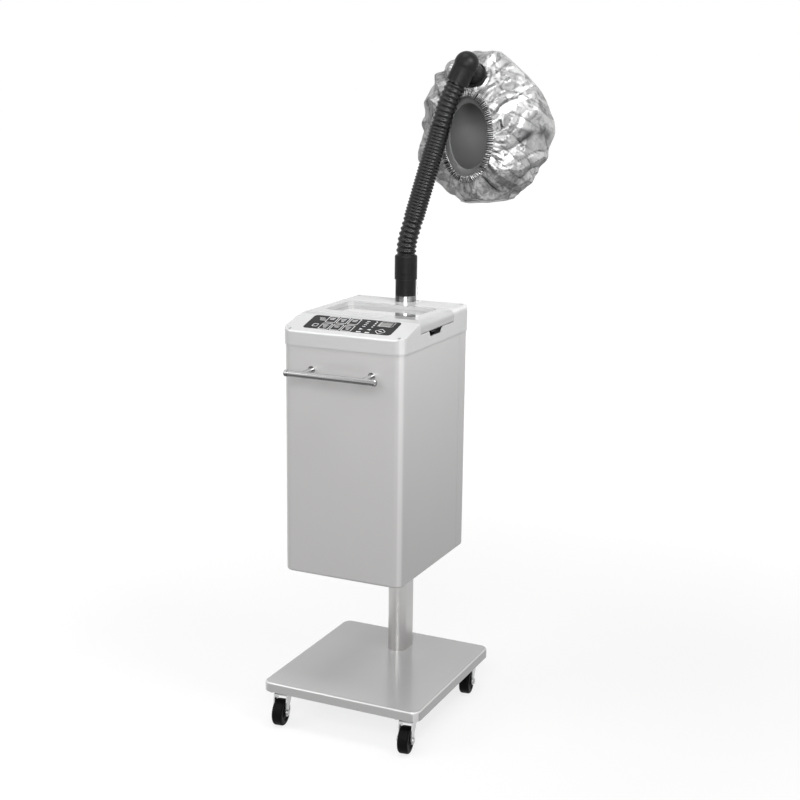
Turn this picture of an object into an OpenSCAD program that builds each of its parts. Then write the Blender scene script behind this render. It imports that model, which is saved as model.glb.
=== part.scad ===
// Salon hair steamer on casters: a cabinet on a pole boils water, and a ribbed hose carries the steam to a hood.
// Millimetres, +Z up, the front towards -Y. The origin lies on the floor, under the middle of the whole steamer.

/* [Base] */
// Width of the base tray
base_w = 380; // [350:1:440]
// Depth of the base tray
base_d = 412; // [390:1:460]
// Height of the base tray's rim
base_h = 22; // [20:1:30]
// Radius of the base tray's corners
base_r = 20; // [14:1:30]
// Radius of the base tray's top edge
base_edge_r = 5; // [3:0.5:6]
// Sheet thickness of the base tray
base_t = 2; // [1.5:0.5:2.5]
// Thickness of the steel plate that closes the base from below
base_plate_t = 3; // [2:0.5:4]

/* [Casters] */
// Height of a caster, from the floor to the base
caster_h = 80; // [76:1:90]
// Diameter of a caster's wheel
wheel_d = 60; // [52:1:60]
// Width of a caster's wheel
wheel_w = 24; // [20:1:26]
// Distance from a caster's swivel axis to its wheel's axle
caster_trail = 20; // [16:1:24]
// Distance from the base's side to a caster's swivel axis
caster_in_x = 36; // [32:1:50]
// Distance from the base's front or back to a caster's swivel axis
caster_in_y = 35; // [32:1:50]
// Angle that the casters stand turned by, at rest
caster_yaw = 8; // [0:1:20]
// Side of the square plate that fastens a caster
caster_plate_w = 56; // [54:1:60]
// Thickness of the caster's plate and fork
caster_t = 2.5; // [2:0.5:3]
// Diameter of a caster's axle
axle_d = 8; // [6:0.5:10]

/* [Pole] */
// Width of the flat-oval pole
pole_w = 45; // [40:1:50]
// Depth of the flat-oval pole
pole_d = 75; // [66:1:80]
// Length of the pole, from the base to the cabinet
pole_l = 266; // [220:1:340]
// Wall thickness of the pole
pole_t = 2; // [1.5:0.5:3]
// Distance from the cabinet's back to the pole's centre
pole_in = 41; // [41:1:50]

/* [Cabinet] */
// Width of the cabinet
body_w = 280; // [270:1:310]
// Depth of the cabinet
body_d = 348; // [340:1:380]
// Height of the cabinet's sheet-metal walls
body_h = 502; // [480:1:560]
// Distance from the base's centre forward to the cabinet's centre
body_forward = 18; // [10:1:24]
// Radius of the cabinet's upright corners
body_r = 20; // [16:1:26]
// Radius of the cabinet's bottom edge
body_edge_r = 6; // [4:0.5:8]
// Sheet thickness of the cabinet
body_t = 1.2; // [1:0.1:1.6]
// Length of the rear panel's side wings
wing_l = 51; // [46:1:60]

/* [Top cover] */
// How far the cover stands proud of the cabinet's walls
cover_proud = 2; // [1.5:0.5:2.5]
// Height of the cover's front face
cover_front_h = 31; // [31:1:36]
// Height of the cover over the flat top
cover_h = 58; // [58:1:64]
// Angle of the keypad's slope
slope_a = 15.5; // [13:0.5:18]
// Radius of the flat top's side edges
cover_edge_r = 14; // [12:1:16]
// Wall thickness of the cover
cover_t = 3; // [2.5:0.1:3.5]

/* [Lid] */
// Depth of the lid, front to back
lid_d = 174; // [170:1:178]
// Distance from the cover's back to the lid's rear edge
lid_back = 94; // [92:1:98]
// Opening gap below the lid's side edge
lid_gap = 1.5; // [1:0.1:2]
// Width of the tray in the lid
tray_w = 216; // [180:1:220]
// Depth of the tray in the lid, front to back
tray_d = 122; // [100:1:126]
// Depth of the tray below the lid's top
tray_deep = 10; // [6:1:12]
// Diameter of the lid's hinge pins
pin_d = 5; // [4:0.5:6]
// Width of the finger notch under the lid, along its top
notch_w = 72; // [50:1:90]
// Height of the finger notch
notch_h = 12; // [10:1:14]

/* [Keypad] */
// Width of the keypad
keypad_w = 204; // [180:1:214]
// Depth of the keypad along the slope
keypad_d = 64; // [54:1:64]
// Width of the display window
display_w = 30; // [22:1:34]
// Depth of the display window
display_d = 20; // [14:1:24]

/* [Handle] */
// Length of the handle bar
bar_l = 212; // [180:1:240]
// Diameter of the handle bar
bar_d = 13; // [10:0.5:16]
// Distance between the handle's two posts
post_gap = 140; // [120:1:160]
// Distance from the front wall to the handle bar's axis
bar_out = 53; // [40:1:60]
// Distance from the top cover's lower edge down to the handle bar
bar_down = 49; // [36:1:80]

/* [Steam outlet] */
// Distance from the cabinet's back to the steam outlet
outlet_in = 36; // [36:1:42]
// Diameter of the chrome ring at the outlet
ring_d = 46.5; // [46:0.5:50]
// Height of the chrome ring
ring_h = 13; // [10:1:16]
// Outer diameter of the spigot that the hose cuff turns on
spigot_d = 38; // [36:0.5:39]
// Diameter of the cuff's lower part
cuff_low_d = 46; // [46:0.5:48]
// Diameter of the cuff's upper part
cuff_d = 50.5; // [49:0.5:54]
// Height of the cuff's lower part
cuff_low_h = 36; // [30:1:40]
// Height of the whole cuff
cuff_h = 91; // [91:1:100]

/* [Hose] */
// Compass angle that the hose leans towards, from +X
lean_to = 25; // [15:1:35]
// Lean of the hose's long stretch, from upright
lean_low = 15.5; // [12:0.5:18]
// Lean of the hose's upper end, from upright
lean_top = 26; // [22:0.5:30]
// Length of the hose's straight end inside a socket
hose_end = 44; // [42:1:46]
// Length of the hose's long leaning stretch
hose_run = 275; // [250:1:300]
// Outer diameter of the hose's plain ends
hose_d = 40; // [39:0.5:41]
// Diameter of the hose's bore
hose_bore = 31; // [28:0.5:32]

/* [Hood] */
// Width of the hood
hood_w = 316; // [300:1:320]
// Depth of the hood
hood_d = 241; // [236:1:250]
// Height of the hood
hood_h = 347; // [335:1:352]
// Width of the face opening
mouth_w = 104; // [96:1:120]
// Height of the face opening
mouth_h = 176; // [164:1:190]
// Angle that the elbow's branch points down by, to the hood
branch_a = 32; // [28:1:36]
// Length of the elbow's branch, from the elbow's middle to the hood
branch_l = 43; // [40:1:46]

/* [Inside] */
// Diameter of the boiler
boiler_d = 104; // [90:1:106]
// Height of the boiler
boiler_h = 160; // [120:1:180]
// Width of the water tank
tank_w = 200; // [160:1:220]
// Depth of the water tank, front to back
tank_d = 96; // [80:1:100]
// Height of the water tank
tank_h = 210; // [160:1:240]
// Wall thickness of the water tank
tank_t = 3; // [2:0.5:4]
// Outer diameter of the water tank's filler neck
neck_d = 54; // [44:1:60]

/* [Hidden] */

$fn = 64;
// A cut or a bore runs past its faces by this much
over = 1;
// Clearance of a turning or sliding fit, on the radius
fit = 0.05;
// Clearance between neighbours that don't touch
gap = 0.3;

// Heights
base_z = caster_h;
base_top = base_z + base_h;
body_z = base_top + pole_l;
body_top = body_z + body_h;
cover_top = body_top + cover_h;
edge_z = body_top + cover_front_h;

// Cabinet and cover outlines, from the base's centre
body_y = -body_forward;
body_front = body_y - body_d / 2;
body_back = body_y + body_d / 2;
wing_y = body_back - wing_l;
seam = 0.6;
cover_w = body_w + 2 * cover_proud;
cover_d = body_d + 2 * cover_proud;
cover_r = body_r + cover_proud;
cover_front = body_front - cover_proud;
cover_back = body_back + cover_proud;
front_edge_r = 5;
rear_edge_r = 16;

// Lid
lid_y1 = cover_back - lid_back;
lid_y0 = lid_y1 - lid_d;
lid_side_gap = 0.5;
lid_z = edge_z;
hinge_r = 6;
hinge_x = -cover_w / 2 + hinge_r;
hinge_z = lid_z + 1 + hinge_r;
tray_y = (lid_y0 + lid_y1) / 2 + 18;
tray_t = 2.5;
deck_z = lid_z - 3;
deck_t = 3;
gutter_w = 27;
gutter_h = 16;

// Pole, outlet and inner parts
pole_y = body_back - pole_in;
outlet_y = body_back - outlet_in;
divider_t = 2;
divider_y = body_back - 125;
pan_t = 2;
pan_z = body_z + body_t;
pan_top = pan_z + pan_t;
lip_w = 14;
plug_t = 10;
bolt_r = 4;
head_r = 6.5;
head_h = 5;
pole_bolt_x = 10;
pole_bolt_y = 22;
flange_t = 6;
flange_w = 90;
flange_d = 64;
stiffener_t = 6;

// Casters
axle_z = wheel_d / 2;
crown_z = caster_h - 3 * caster_t - 4;
fork_w = wheel_w + 3 + 2 * caster_t;
crown_r = 22;
race_r = 20;
king_r = 5;
leg_r = 9;
caster_x = base_w / 2 - caster_in_x;
caster_y = base_d / 2 - caster_in_y;
caster_bolt = 21;
caster_bolt_r = 3;

// Keypad, measured up the slope from the cover's front edge
keypad_t = 1.2;
keypad_up = 19;
keypad_r = 8;
keypad_mid = keypad_up + keypad_d / 2;
board_w = 190;
board_d = 48;
board_t = 1.6;
board_drop = 8.3;

// Screws of the cover
screw_x = cover_w / 2 - 15;
screw_front_y = cover_front + 11;
screw_back_y = cover_back - 17;
screw_r = 2;
screw_head_r = 3.6;
screw_head_h = 2;
boss_r = 5;
tab_z = body_top - 13;
tab_t = 2;
tab_w = 26;

// Handle
bar_z = body_top - bar_down;
bar_y = body_front - bar_out;
post_r = 4.5;
post_foot_r = 8;
post_foot_t = 3;
bar_cap_r = bar_d / 2 + 0.8;

// Outlet and cuff
ring_top = cover_top + ring_h;
cuff_z = ring_top + gap;
spigot_h = 42;
spigot_wall = 2;
outlet_flange_r = outlet_in - cover_edge_r - gap;
socket_wall_gap = 0.3;
cuff_top = cuff_z + cuff_h;

// Hose: the route runs up from the cuff's socket, in the upright plane of its lean
hose_z = cuff_top - hose_end;
bend_low_l = 45;
bend_top_l = 55;
bend_low_r = bend_low_l * 180 / PI / lean_low;
bend_top_r = bend_top_l * 180 / PI / (lean_top - lean_low);
t_low = hose_end;
t_run = t_low + bend_low_l;
t_top = t_run + hose_run;
t_end = t_top + bend_top_l;
hose_l = t_end + hose_end;
hose_sides = 8;
// Ribs of the three stretches, upwards: count, pitch, crest radius and valley radius. The top one has no pitch,
// because its ribs share what is left
rib_low = [7, 11.4, 22.4, 18.4];
rib_mid = [29, 7.1, 23.2, 20.8];
rib_top = [9, 22.4, 19];

// Elbow
elbow_r = 25;
elbow_ball_r = 27;
mouth_t = hose_l - 29;
ball_t = hose_l + 17;
steam_r = hose_bore / 2;

// Hood
collar_r = 30;
collar_t = 4;
sleeve_r = 27;
sleeve_l = 36.4;
dome_in = 17.1;
nut_t = 5;
branch_r = 22;
spigot_out = 38;

/* Outlines */

// A rectangle with round corners
module rounded_square(w, d, r) {
    square([w - 2 * r, d], center = true);
    square([w, d - 2 * r], center = true);
    for (x = [-1, 1], y = [-1, 1])
        translate([x * (w / 2 - r), y * (d / 2 - r)]) circle(r);
}

// An upright block with round corners, its bottom edge rounded by e
module soft_slab(w, d, h, r, e) {
    translate([0, 0, e]) linear_extrude(h - e) rounded_square(w, d, r);
    linear_extrude(h) rounded_square(w - 2 * e, d - 2 * e, r - e);
    for (x = [-1, 1], y = [-1, 1])
        translate([x * (w / 2 - r), y * (d / 2 - r), 0])
            rotate_extrude() {
                square([r - e, e]);
                intersection() {
                    translate([r - e, e]) circle(e);
                    square([r, e]);
                }
            }
    for (s = [-1, 1]) {
        translate([0, s * (d / 2 - e), e]) rotate([0, 90, 0]) cylinder(r = e, h = w - 2 * r, center = true);
        translate([s * (w / 2 - e), 0, e]) rotate([90, 0, 0]) cylinder(r = e, h = d - 2 * r, center = true);
    }
}

// The pole's section, a slot shape with full-round ends
module pole_outline(grow) {
    r = pole_w / 2 + grow;
    flat = pole_d - pole_w;
    square([2 * r, flat], center = true);
    for (s = [-1, 1]) translate([0, s * flat / 2]) circle(r);
}

/* Placing */

// Moves from the base's centre to the model's origin
module on_floor() {
    translate([-mid_x, -mid_y, 0]) children();
}

// One of the four casters, x and y being -1 or 1, with the swivel axis at the origin's Z
module at_caster(x, y) {
    on_floor() translate([x * caster_x, y * caster_y, 0]) rotate([0, 0, caster_yaw]) children();
}

// The keypad's slope: +Y runs up the slope from the cover's front edge, +Z stands out of it
module on_slope() {
    on_floor() translate([0, cover_front, edge_z]) rotate([slope_a, 0, 0]) children();
}

// The rear wall's outer face: +Z points out of the cabinet, +Y up
module on_rear(x, z) {
    on_floor() translate([x, body_back, z]) rotate([90, 0, 180]) children();
}

/* Base */

module base_tray() {
    color("silver") on_floor() difference() {
        translate([0, 0, base_top]) mirror([0, 0, 1]) soft_slab(base_w, base_d, base_h, base_r, base_edge_r);
        translate([0, 0, base_top - base_t]) mirror([0, 0, 1])
            soft_slab(base_w - 2 * base_t, base_d - 2 * base_t, base_h, base_r - base_t, base_edge_r - base_t);
        translate([0, pole_y, 0]) for (x = [-1, 1], y = [-1, 1])
            translate([x * pole_bolt_x, y * pole_bolt_y, base_top - base_t - over])
                cylinder(r = bolt_r + gap, h = base_t + 2 * over);
    }
}

module base_plate() {
    w = base_w - 2 * base_t - 2 * gap;
    d = base_d - 2 * base_t - 2 * gap;
    color("gray") on_floor() {
        difference() {
            translate([0, 0, base_z]) linear_extrude(base_plate_t) rounded_square(w, d, base_r - base_t - gap);
            for (x = [-1, 1], y = [-1, 1]) translate([x * caster_x, y * caster_y, base_z - over])
                rotate([0, 0, caster_yaw]) for (u = [-1, 1], v = [-1, 1])
                    translate([u * caster_bolt, v * caster_bolt, 0])
                        cylinder(r = caster_bolt_r + fit, h = base_plate_t + 2 * over);
        }
        // Spacer posts carry the tray's top
        for (x = [-1, 1], y = [-1, 1])
            translate([x * (caster_x - 45), y * (caster_y - 45), base_z + base_plate_t])
                cylinder(r = 8, h = base_h - base_t - base_plate_t);
    }
}

module base_stiffener() {
    color("dimgray") on_floor() difference() {
        translate([0, pole_y, base_top - base_t - stiffener_t])
            linear_extrude(stiffener_t) rounded_square(170, 120, 10);
        translate([0, pole_y, 0]) for (x = [-1, 1], y = [-1, 1])
            translate([x * pole_bolt_x, y * pole_bolt_y, base_top - base_t - stiffener_t - over])
                cylinder(r = bolt_r + gap, h = stiffener_t + 2 * over);
    }
}

/* Casters */

module caster_plates() {
    for (x = [-1, 1], y = [-1, 1]) at_caster(x, y) color("silver") {
        difference() {
            translate([0, 0, base_z - caster_t]) linear_extrude(caster_t)
                rounded_square(caster_plate_w, caster_plate_w, 5);
            for (u = [-1, 1], v = [-1, 1])
                translate([u * caster_bolt, v * caster_bolt, base_z - caster_t - over])
                    cylinder(r = caster_bolt_r + fit, h = caster_t + 2 * over);
        }
        // Pressed race and king pin, with the pin's riveted head below the fork
        translate([0, 0, crown_z + caster_t + gap])
            cylinder(r1 = race_r - 2, r2 = race_r, h = base_z - caster_t - crown_z - caster_t - gap);
        translate([0, 0, crown_z - 3]) cylinder(r = king_r, h = base_z - caster_t - crown_z + 3);
        translate([0, 0, crown_z - 3]) cylinder(r = king_r + 3, h = 3 - gap);
    }
}

module caster_bolts() {
    for (x = [-1, 1], y = [-1, 1]) at_caster(x, y) color("silver") for (u = [-1, 1], v = [-1, 1])
        translate([u * caster_bolt, v * caster_bolt, 0]) {
            translate([0, 0, base_z - caster_t]) cylinder(r = caster_bolt_r, h = caster_t + base_plate_t);
            translate([0, 0, base_z - caster_t - 2.5]) cylinder(r = 4.5, h = 2.5);
        }
}

// A leg's outline seen from its side, y along the travel and z up: it tapers from the crown to the axle
module leg_outline() {
    drop = crown_z + caster_t - axle_z;
    polygon([[crown_r - 8, 0], [-crown_r, 0], [-caster_trail - leg_r, -drop + 3], [-caster_trail - leg_r, -drop],
        [-caster_trail + leg_r, -drop], [-caster_trail + leg_r + 4, -drop + 12]]);
    translate([-caster_trail, -drop]) circle(leg_r);
}

module caster_fork(x, y) {
    at_caster(x, y) color("lightgray") difference() {
        union() {
            translate([0, 0, crown_z]) cylinder(r = crown_r, h = caster_t);
            translate([-fork_w / 2, -crown_r, crown_z]) cube([fork_w, 2 * crown_r - 8, caster_t]);
            for (s = [-1, 1]) translate([s * (fork_w - caster_t) / 2, 0, crown_z + caster_t])
                rotate([90, 0, 90]) linear_extrude(caster_t, center = true) leg_outline();
        }
        translate([0, 0, crown_z - over]) cylinder(r = king_r + fit, h = caster_t + 2 * over);
        translate([0, -caster_trail, axle_z]) rotate([0, 90, 0])
            cylinder(d = axle_d + 2 * fit, h = fork_w + 2 * over, center = true);
    }
}

module caster_axle(x, y) {
    at_caster(x, y) color("silver") translate([0, -caster_trail, axle_z]) rotate([0, 90, 0]) {
        cylinder(d = axle_d, h = fork_w, center = true);
        for (s = [-1, 1]) translate([0, 0, s * (fork_w / 2 + 1.5)]) cylinder(r = axle_d / 2 + 2.5, h = 3, center = true);
    }
}

module caster_wheel(x, y) {
    tread_r = 5;
    r = wheel_d / 2;
    w = wheel_w / 2;
    at_caster(x, y) color([0.1, 0.1, 0.1]) translate([0, -caster_trail, axle_z]) rotate([0, 90, 0])
        rotate_extrude() difference() {
            union() {
                translate([axle_d / 2 + fit, -w]) square([r - tread_r - axle_d / 2 - fit, wheel_w]);
                translate([r - tread_r, -w + tread_r]) square([tread_r, wheel_w - 2 * tread_r]);
                for (s = [-1, 1]) translate([r - tread_r, s * (w - tread_r)]) circle(tread_r);
            }
            // Dished sides between the hub and the tread
            for (s = [-1, 1]) translate([r * 0.52, s * (w + 3)]) circle(5.5);
        }
}

/* Pole */

module pole_tube() {
    color("silver") on_floor() translate([0, pole_y, base_top]) linear_extrude(pole_l + body_t) difference() {
        pole_outline(0);
        pole_outline(-pole_t);
    }
}

module pole_plugs() {
    color("gray") on_floor() for (z = [base_top, pan_z - plug_t]) translate([0, pole_y, z])
        difference() {
            linear_extrude(plug_t) pole_outline(-pole_t - fit);
            for (x = [-1, 1], y = [-1, 1]) translate([x * pole_bolt_x, y * pole_bolt_y, -over])
                cylinder(r = bolt_r + fit, h = plug_t + 2 * over);
        }
}

module pole_flange() {
    color("gray") on_floor() translate([0, pole_y, pan_top]) difference() {
        linear_extrude(flange_t) rounded_square(flange_w, flange_d, 8);
        for (x = [-1, 1], y = [-1, 1]) translate([x * pole_bolt_x, y * pole_bolt_y, -over])
            cylinder(r = bolt_r + gap, h = flange_t + 2 * over);
    }
}

module pole_bolts() {
    top = pan_top + flange_t;
    under = base_top - base_t - stiffener_t;
    color("silver") on_floor() for (x = [-1, 1], y = [-1, 1])
        translate([x * pole_bolt_x, pole_y + y * pole_bolt_y, 0]) {
            translate([0, 0, pan_z - plug_t]) cylinder(r = bolt_r, h = top - pan_z + plug_t);
            translate([0, 0, top]) cylinder(r = head_r, h = head_h, $fn = 6);
            translate([0, 0, under]) cylinder(r = bolt_r, h = stiffener_t + base_t + plug_t);
            translate([0, 0, under - head_h]) cylinder(r = head_r, h = head_h, $fn = 6);
        }
}

/* Cabinet */

// The whole sheet-metal skin, before it's cut into shell and rear panel
module cabinet_skin() {
    translate([0, body_y, body_z]) difference() {
        soft_slab(body_w, body_d, body_h, body_r, body_edge_r);
        translate([0, 0, body_t]) soft_slab(body_w - 2 * body_t, body_d - 2 * body_t, body_h, body_r - body_t,
            body_edge_r - body_t);
        translate([0, 0, -over]) linear_extrude(body_t + 2 * over)
            rounded_square(body_w - 2 * lip_w, body_d - 2 * lip_w, body_r - body_edge_r);
    }
}

// Tabs inside the skin's top corners, which take the cover's screws
module screw_tabs(y) {
    for (s = [-1, 1]) difference() {
        intersection() {
            translate([s * (body_w / 2 - tab_w / 2), y, tab_z + tab_t / 2]) cube([tab_w, 2 * tab_w, tab_t], center = true);
            translate([0, body_y, tab_z]) linear_extrude(tab_t)
                rounded_square(body_w - 2 * body_t, body_d - 2 * body_t, body_r - body_t);
        }
        for (v = [screw_front_y, screw_back_y]) translate([s * screw_x, v, tab_z - over])
            cylinder(r = screw_r + fit, h = tab_t + 2 * over);
    }
}

module cabinet_shell() {
    color([0.75, 0.75, 0.76]) on_floor() {
        difference() {
            cabinet_skin();
            translate([-body_w, wing_y - seam / 2, body_z - over]) cube([2 * body_w, body_d, body_h + 2 * over]);
            for (s = [-1, 1]) translate([s * post_gap / 2, body_front - over, bar_z]) rotate([-90, 0, 0])
                cylinder(r = screw_r + gap, h = body_t + 2 * over);
        }
        screw_tabs(body_front);
        // Return flanges that the rear panel's wings lap on
        for (s = [-1, 1]) translate([s * (body_w / 2 - body_t - body_t / 2), wing_y, body_z + body_h / 2])
            cube([body_t, 18, body_h - 2 * lip_w - 24], center = true);
    }
}

module rear_panel() {
    slot_w = 44;
    slot_h = 4;
    color([0.72, 0.72, 0.73]) on_floor() {
        difference() {
            cabinet_skin();
            translate([-body_w, wing_y + seam / 2 - 2 * body_d, body_z - over])
                cube([2 * body_w, 2 * body_d, body_h + 2 * over]);
            // Cooling slots in two columns
            for (s = [-1, 1], i = [0:9]) translate([s * 45, body_back, body_top - 60 - i * 12])
                cube([slot_w, 4 * body_t, slot_h], center = true);
            // Cut-outs of the power inlet and the switch
            translate([inlet_x, body_back, inlet_z]) cube([28, 4 * body_t, 21], center = true);
            translate([inlet_x, body_back, switch_z]) cube([22, 4 * body_t, 14], center = true);
            for (s = [-1, 1], z = rear_screw_z) translate([s * rear_screw_x, body_back + over, z]) rotate([90, 0, 0])
                cylinder(r = screw_r, h = body_t + 2 * over);
            translate([0, pole_y, body_z - over]) linear_extrude(body_t + 2 * over) pole_outline(gap);
        }
        screw_tabs(body_back);
    }
}
inlet_x = -76;
inlet_z = body_z + 62;
switch_z = inlet_z + 34;
rear_screw_x = body_w / 2 - 26;
rear_screw_z = [body_z + 30, body_z + body_h / 2, body_top - 35];

module rear_screws() {
    color("silver") for (s = [-1, 1], z = rear_screw_z) on_rear(s * rear_screw_x, z) {
        cylinder(r = 3.5, h = 1.8);
        translate([0, 0, -10]) cylinder(r = screw_r - fit, h = 10);
    }
}

module bottom_pan() {
    w = body_w - 2 * body_t - 2 * gap;
    d = body_d - 2 * body_t - 2 * gap;
    r = body_r - body_t - gap;
    e = body_edge_r - body_t;
    color("gray") on_floor() difference() {
        translate([0, body_y, pan_z]) difference() {
            soft_slab(w, d, 16, r, e);
            translate([0, 0, pan_t]) soft_slab(w - 2 * pan_t, d - 2 * pan_t, 16, r - pan_t, e - pan_t);
        }
        for (x = [-1, 1], y = [-1, 1])
            translate([x * pole_bolt_x, pole_y + y * pole_bolt_y, pan_z - over])
                cylinder(r = bolt_r + gap, h = pan_t + 2 * over);
        translate([drain_x, drain_y, pan_z - over]) cylinder(r = drain_r + gap, h = pan_t + 2 * over);
    }
}

// Inner frame: an upright divider with a foot, the tank's shelf in front and the boiler's shelf behind
module chassis() {
    w = body_w - 60;
    shelf_z = tank_z - divider_t;
    boiler_shelf_z = boiler_z - divider_t;
    color("lightslategray") on_floor() difference() {
        union() {
            translate([-w / 2, divider_y, pan_top]) cube([w, divider_t, body_top - 40 - pan_top]);
            translate([-w / 2, divider_y - 24, pan_top]) cube([w, 24, divider_t]);
            translate([-w / 2, divider_y - tank_d - 6, shelf_z]) cube([w, tank_d + 6, divider_t]);
            for (s = [-1, 1]) translate([s * (w / 2 - 1), divider_y - tank_d / 2 - 3, shelf_z - 10])
                cube([divider_t, tank_d + 6, 20], center = true);
            translate([-60, divider_y, boiler_shelf_z]) cube([120, boiler_d + 8, divider_t]);
            for (s = [-1, 1]) translate([s * 59, divider_y + boiler_d / 2, boiler_shelf_z - 10])
                cube([divider_t, boiler_d, 20], center = true);
        }
        translate([feed_x, feed_y, shelf_z - over]) cylinder(r = feed_r + gap, h = divider_t + 2 * over);
        translate([feed_x, divider_y - over, feed_z]) rotate([-90, 0, 0])
            cylinder(r = feed_r + gap, h = divider_t + 2 * over);
        translate([drain_x, drain_y, boiler_shelf_z - over]) cylinder(r = drain_r + gap, h = divider_t + 2 * over);
    }
}

/* Top cover */

// The cover's side outline, y and z, drawn in by the wall's thickness t and reaching down to z0
module cover_side(t, z0) {
    yf = cover_front + t;
    yb = cover_back - t;
    zt = cover_top - t;
    ze = edge_z + t * tan(slope_a) - t / cos(slope_a);
    yk = yf + (zt - ze) / tan(slope_a);
    rf = front_edge_r - min(t, front_edge_r - 1);
    rb = rear_edge_r - t;
    zc = ze + rf * tan(slope_a) - rf / cos(slope_a);
    polygon([[yf, z0], [yf, zc], [yf + rf * (1 - sin(slope_a)), zc + rf * cos(slope_a)], [yk, zt], [yb - rb, zt],
        [yb, zt - rb], [yb, z0]]);
    translate([yf + rf, zc]) circle(rf);
    translate([yb - rb, zt - rb]) circle(rb);
}

// The cover's front outline, x and z
module cover_face(t, z0) {
    w = cover_w / 2 - t;
    zt = cover_top - t;
    r = cover_edge_r - t;
    translate([-w, z0]) square([2 * w, zt - r - z0]);
    translate([-w + r, z0]) square([2 * (w - r), zt - z0]);
    for (s = [-1, 1]) translate([s * (w - r), zt - r]) circle(r);
}

// The solid that the cover and the lid are cut from, drawn in by t
module cover_solid(t, z0) {
    intersection() {
        translate([0, body_y, z0]) linear_extrude(cover_top - z0 + over)
            rounded_square(cover_w - 2 * t, cover_d - 2 * t, cover_r - t);
        rotate([90, 0, 90]) linear_extrude(cover_w + 2 * over, center = true) cover_side(t, z0);
        rotate([90, 0, 0]) linear_extrude(4 * cover_d, center = true) cover_face(t, z0);
    }
}

// A block across the whole cover from y0 to y1 and z0 to z1
module across(y0, y1, z0, z1) {
    translate([-cover_w, y0, z0]) cube([2 * cover_w, y1 - y0, z1 - z0]);
}

module finger_notch() {
    y = (lid_y0 + lid_y1) / 2 - 8;
    translate([cover_w / 2 - cover_t - over, y, lid_z]) rotate([90, 0, 90]) linear_extrude(cover_t + 2 * over)
        polygon([[-notch_w / 2, over], [-notch_w / 2, 0], [-notch_w / 2 + 7, -notch_h], [notch_w / 2 - 7, -notch_h],
            [notch_w / 2, 0], [notch_w / 2, over]]);
}

module top_cover() {
    inner_w = cover_w - 2 * cover_t;
    color([0.8, 0.8, 0.81]) on_floor() difference() {
        union() {
            difference() {
                cover_solid(0, body_top);
                cover_solid(cover_t, body_top - over);
            }
            // Bulkheads at the lid's front and rear
            intersection() {
                cover_solid(0, body_top);
                union() {
                    across(lid_y0 - cover_t, lid_y0, deck_z - deck_t, cover_top);
                    across(lid_y1, lid_y1 + cover_t, deck_z - deck_t, cover_top);
                }
            }
            // Deck under the lid, and the lower gutter behind the finger notch
            translate([-inner_w / 2, lid_y0 - cover_t, deck_z - deck_t])
                cube([inner_w - gutter_w, lid_d + 2 * cover_t, deck_t]);
            translate([inner_w / 2 - gutter_w, lid_y0 - cover_t, deck_z - gutter_h])
                cube([gutter_w, lid_d + 2 * cover_t, deck_t]);
            translate([inner_w / 2 - gutter_w - deck_t, lid_y0 - cover_t, deck_z - gutter_h])
                cube([deck_t, lid_d + 2 * cover_t, gutter_h]);
            for (v = [lid_y0 - cover_t, lid_y1]) translate([inner_w / 2 - gutter_w, v, deck_z - gutter_h])
                cube([gutter_w, cover_t, gutter_h]);
            // Screw bosses down to the cabinet's tabs
            for (s = [-1, 1]) intersection() {
                union() {
                    translate([s * screw_x, screw_front_y, tab_z + tab_t]) cylinder(r = boss_r, h = cover_h);
                    translate([s * screw_x, screw_back_y, tab_z + tab_t]) cylinder(r = boss_r, h = cover_h + 20);
                }
                cover_solid(0.5, tab_z);
            }
        }
        across(lid_y0, lid_y1, lid_z, cover_top + over);
        finger_notch();
        // Steam outlet, filler neck, hinge pins, keypad recess and screws
        translate([0, outlet_y, cover_top - 20]) cylinder(r = spigot_d / 2 + fit, h = 20 + over);
        translate([0, neck_y, deck_z - deck_t - over]) cylinder(r = neck_d / 2 + gap, h = deck_t + 2 * over);
        translate([hinge_x, lid_y0 - cover_t - over, hinge_z]) rotate([-90, 0, 0])
            cylinder(r = pin_d / 2 + fit, h = lid_d + 2 * cover_t + 2 * over);
        cover_screw_holes();
        translate([0, cover_front, edge_z]) rotate([slope_a, 0, 0]) {
            translate([0, keypad_mid, -keypad_t]) linear_extrude(keypad_t + over)
                rounded_square(keypad_w + 2 * gap, keypad_d + 2 * gap, keypad_r + gap);
            translate([0, keypad_mid - 8, -cover_t - 2 * over]) linear_extrude(cover_t + 3 * over) square([30, 8], center = true);
        }
    }
}

// Height of the cover's slope at y
function slope_z(y) = edge_z + (y - cover_front) * tan(slope_a);

module cover_screw_holes() {
    for (s = [-1, 1]) {
        translate([s * screw_x, screw_front_y, tab_z]) cylinder(r = screw_r + fit, h = cover_h + 20);
        translate([s * screw_x, screw_back_y, tab_z]) cylinder(r = screw_r + fit, h = cover_h + 20);
        translate([s * screw_x, screw_front_y, slope_z(screw_front_y) - screw_head_h])
            cylinder(r = screw_head_r + gap, h = 20);
        translate([s * screw_x, screw_back_y, cover_top - screw_head_h]) cylinder(r = screw_head_r + gap, h = 20);
    }
}

module cover_screws() {
    color("dimgray") on_floor() for (s = [-1, 1], v = [[screw_front_y, slope_z(screw_front_y)], [screw_back_y, cover_top]])
        translate([s * screw_x, v[0], 0]) {
            translate([0, 0, v[1] - screw_head_h]) cylinder(r = screw_head_r, h = screw_head_h - 0.4);
            translate([0, 0, tab_z - 4]) cylinder(r = screw_r, h = v[1] - screw_head_h - tab_z + 4);
        }
}

/* Lid */

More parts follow.
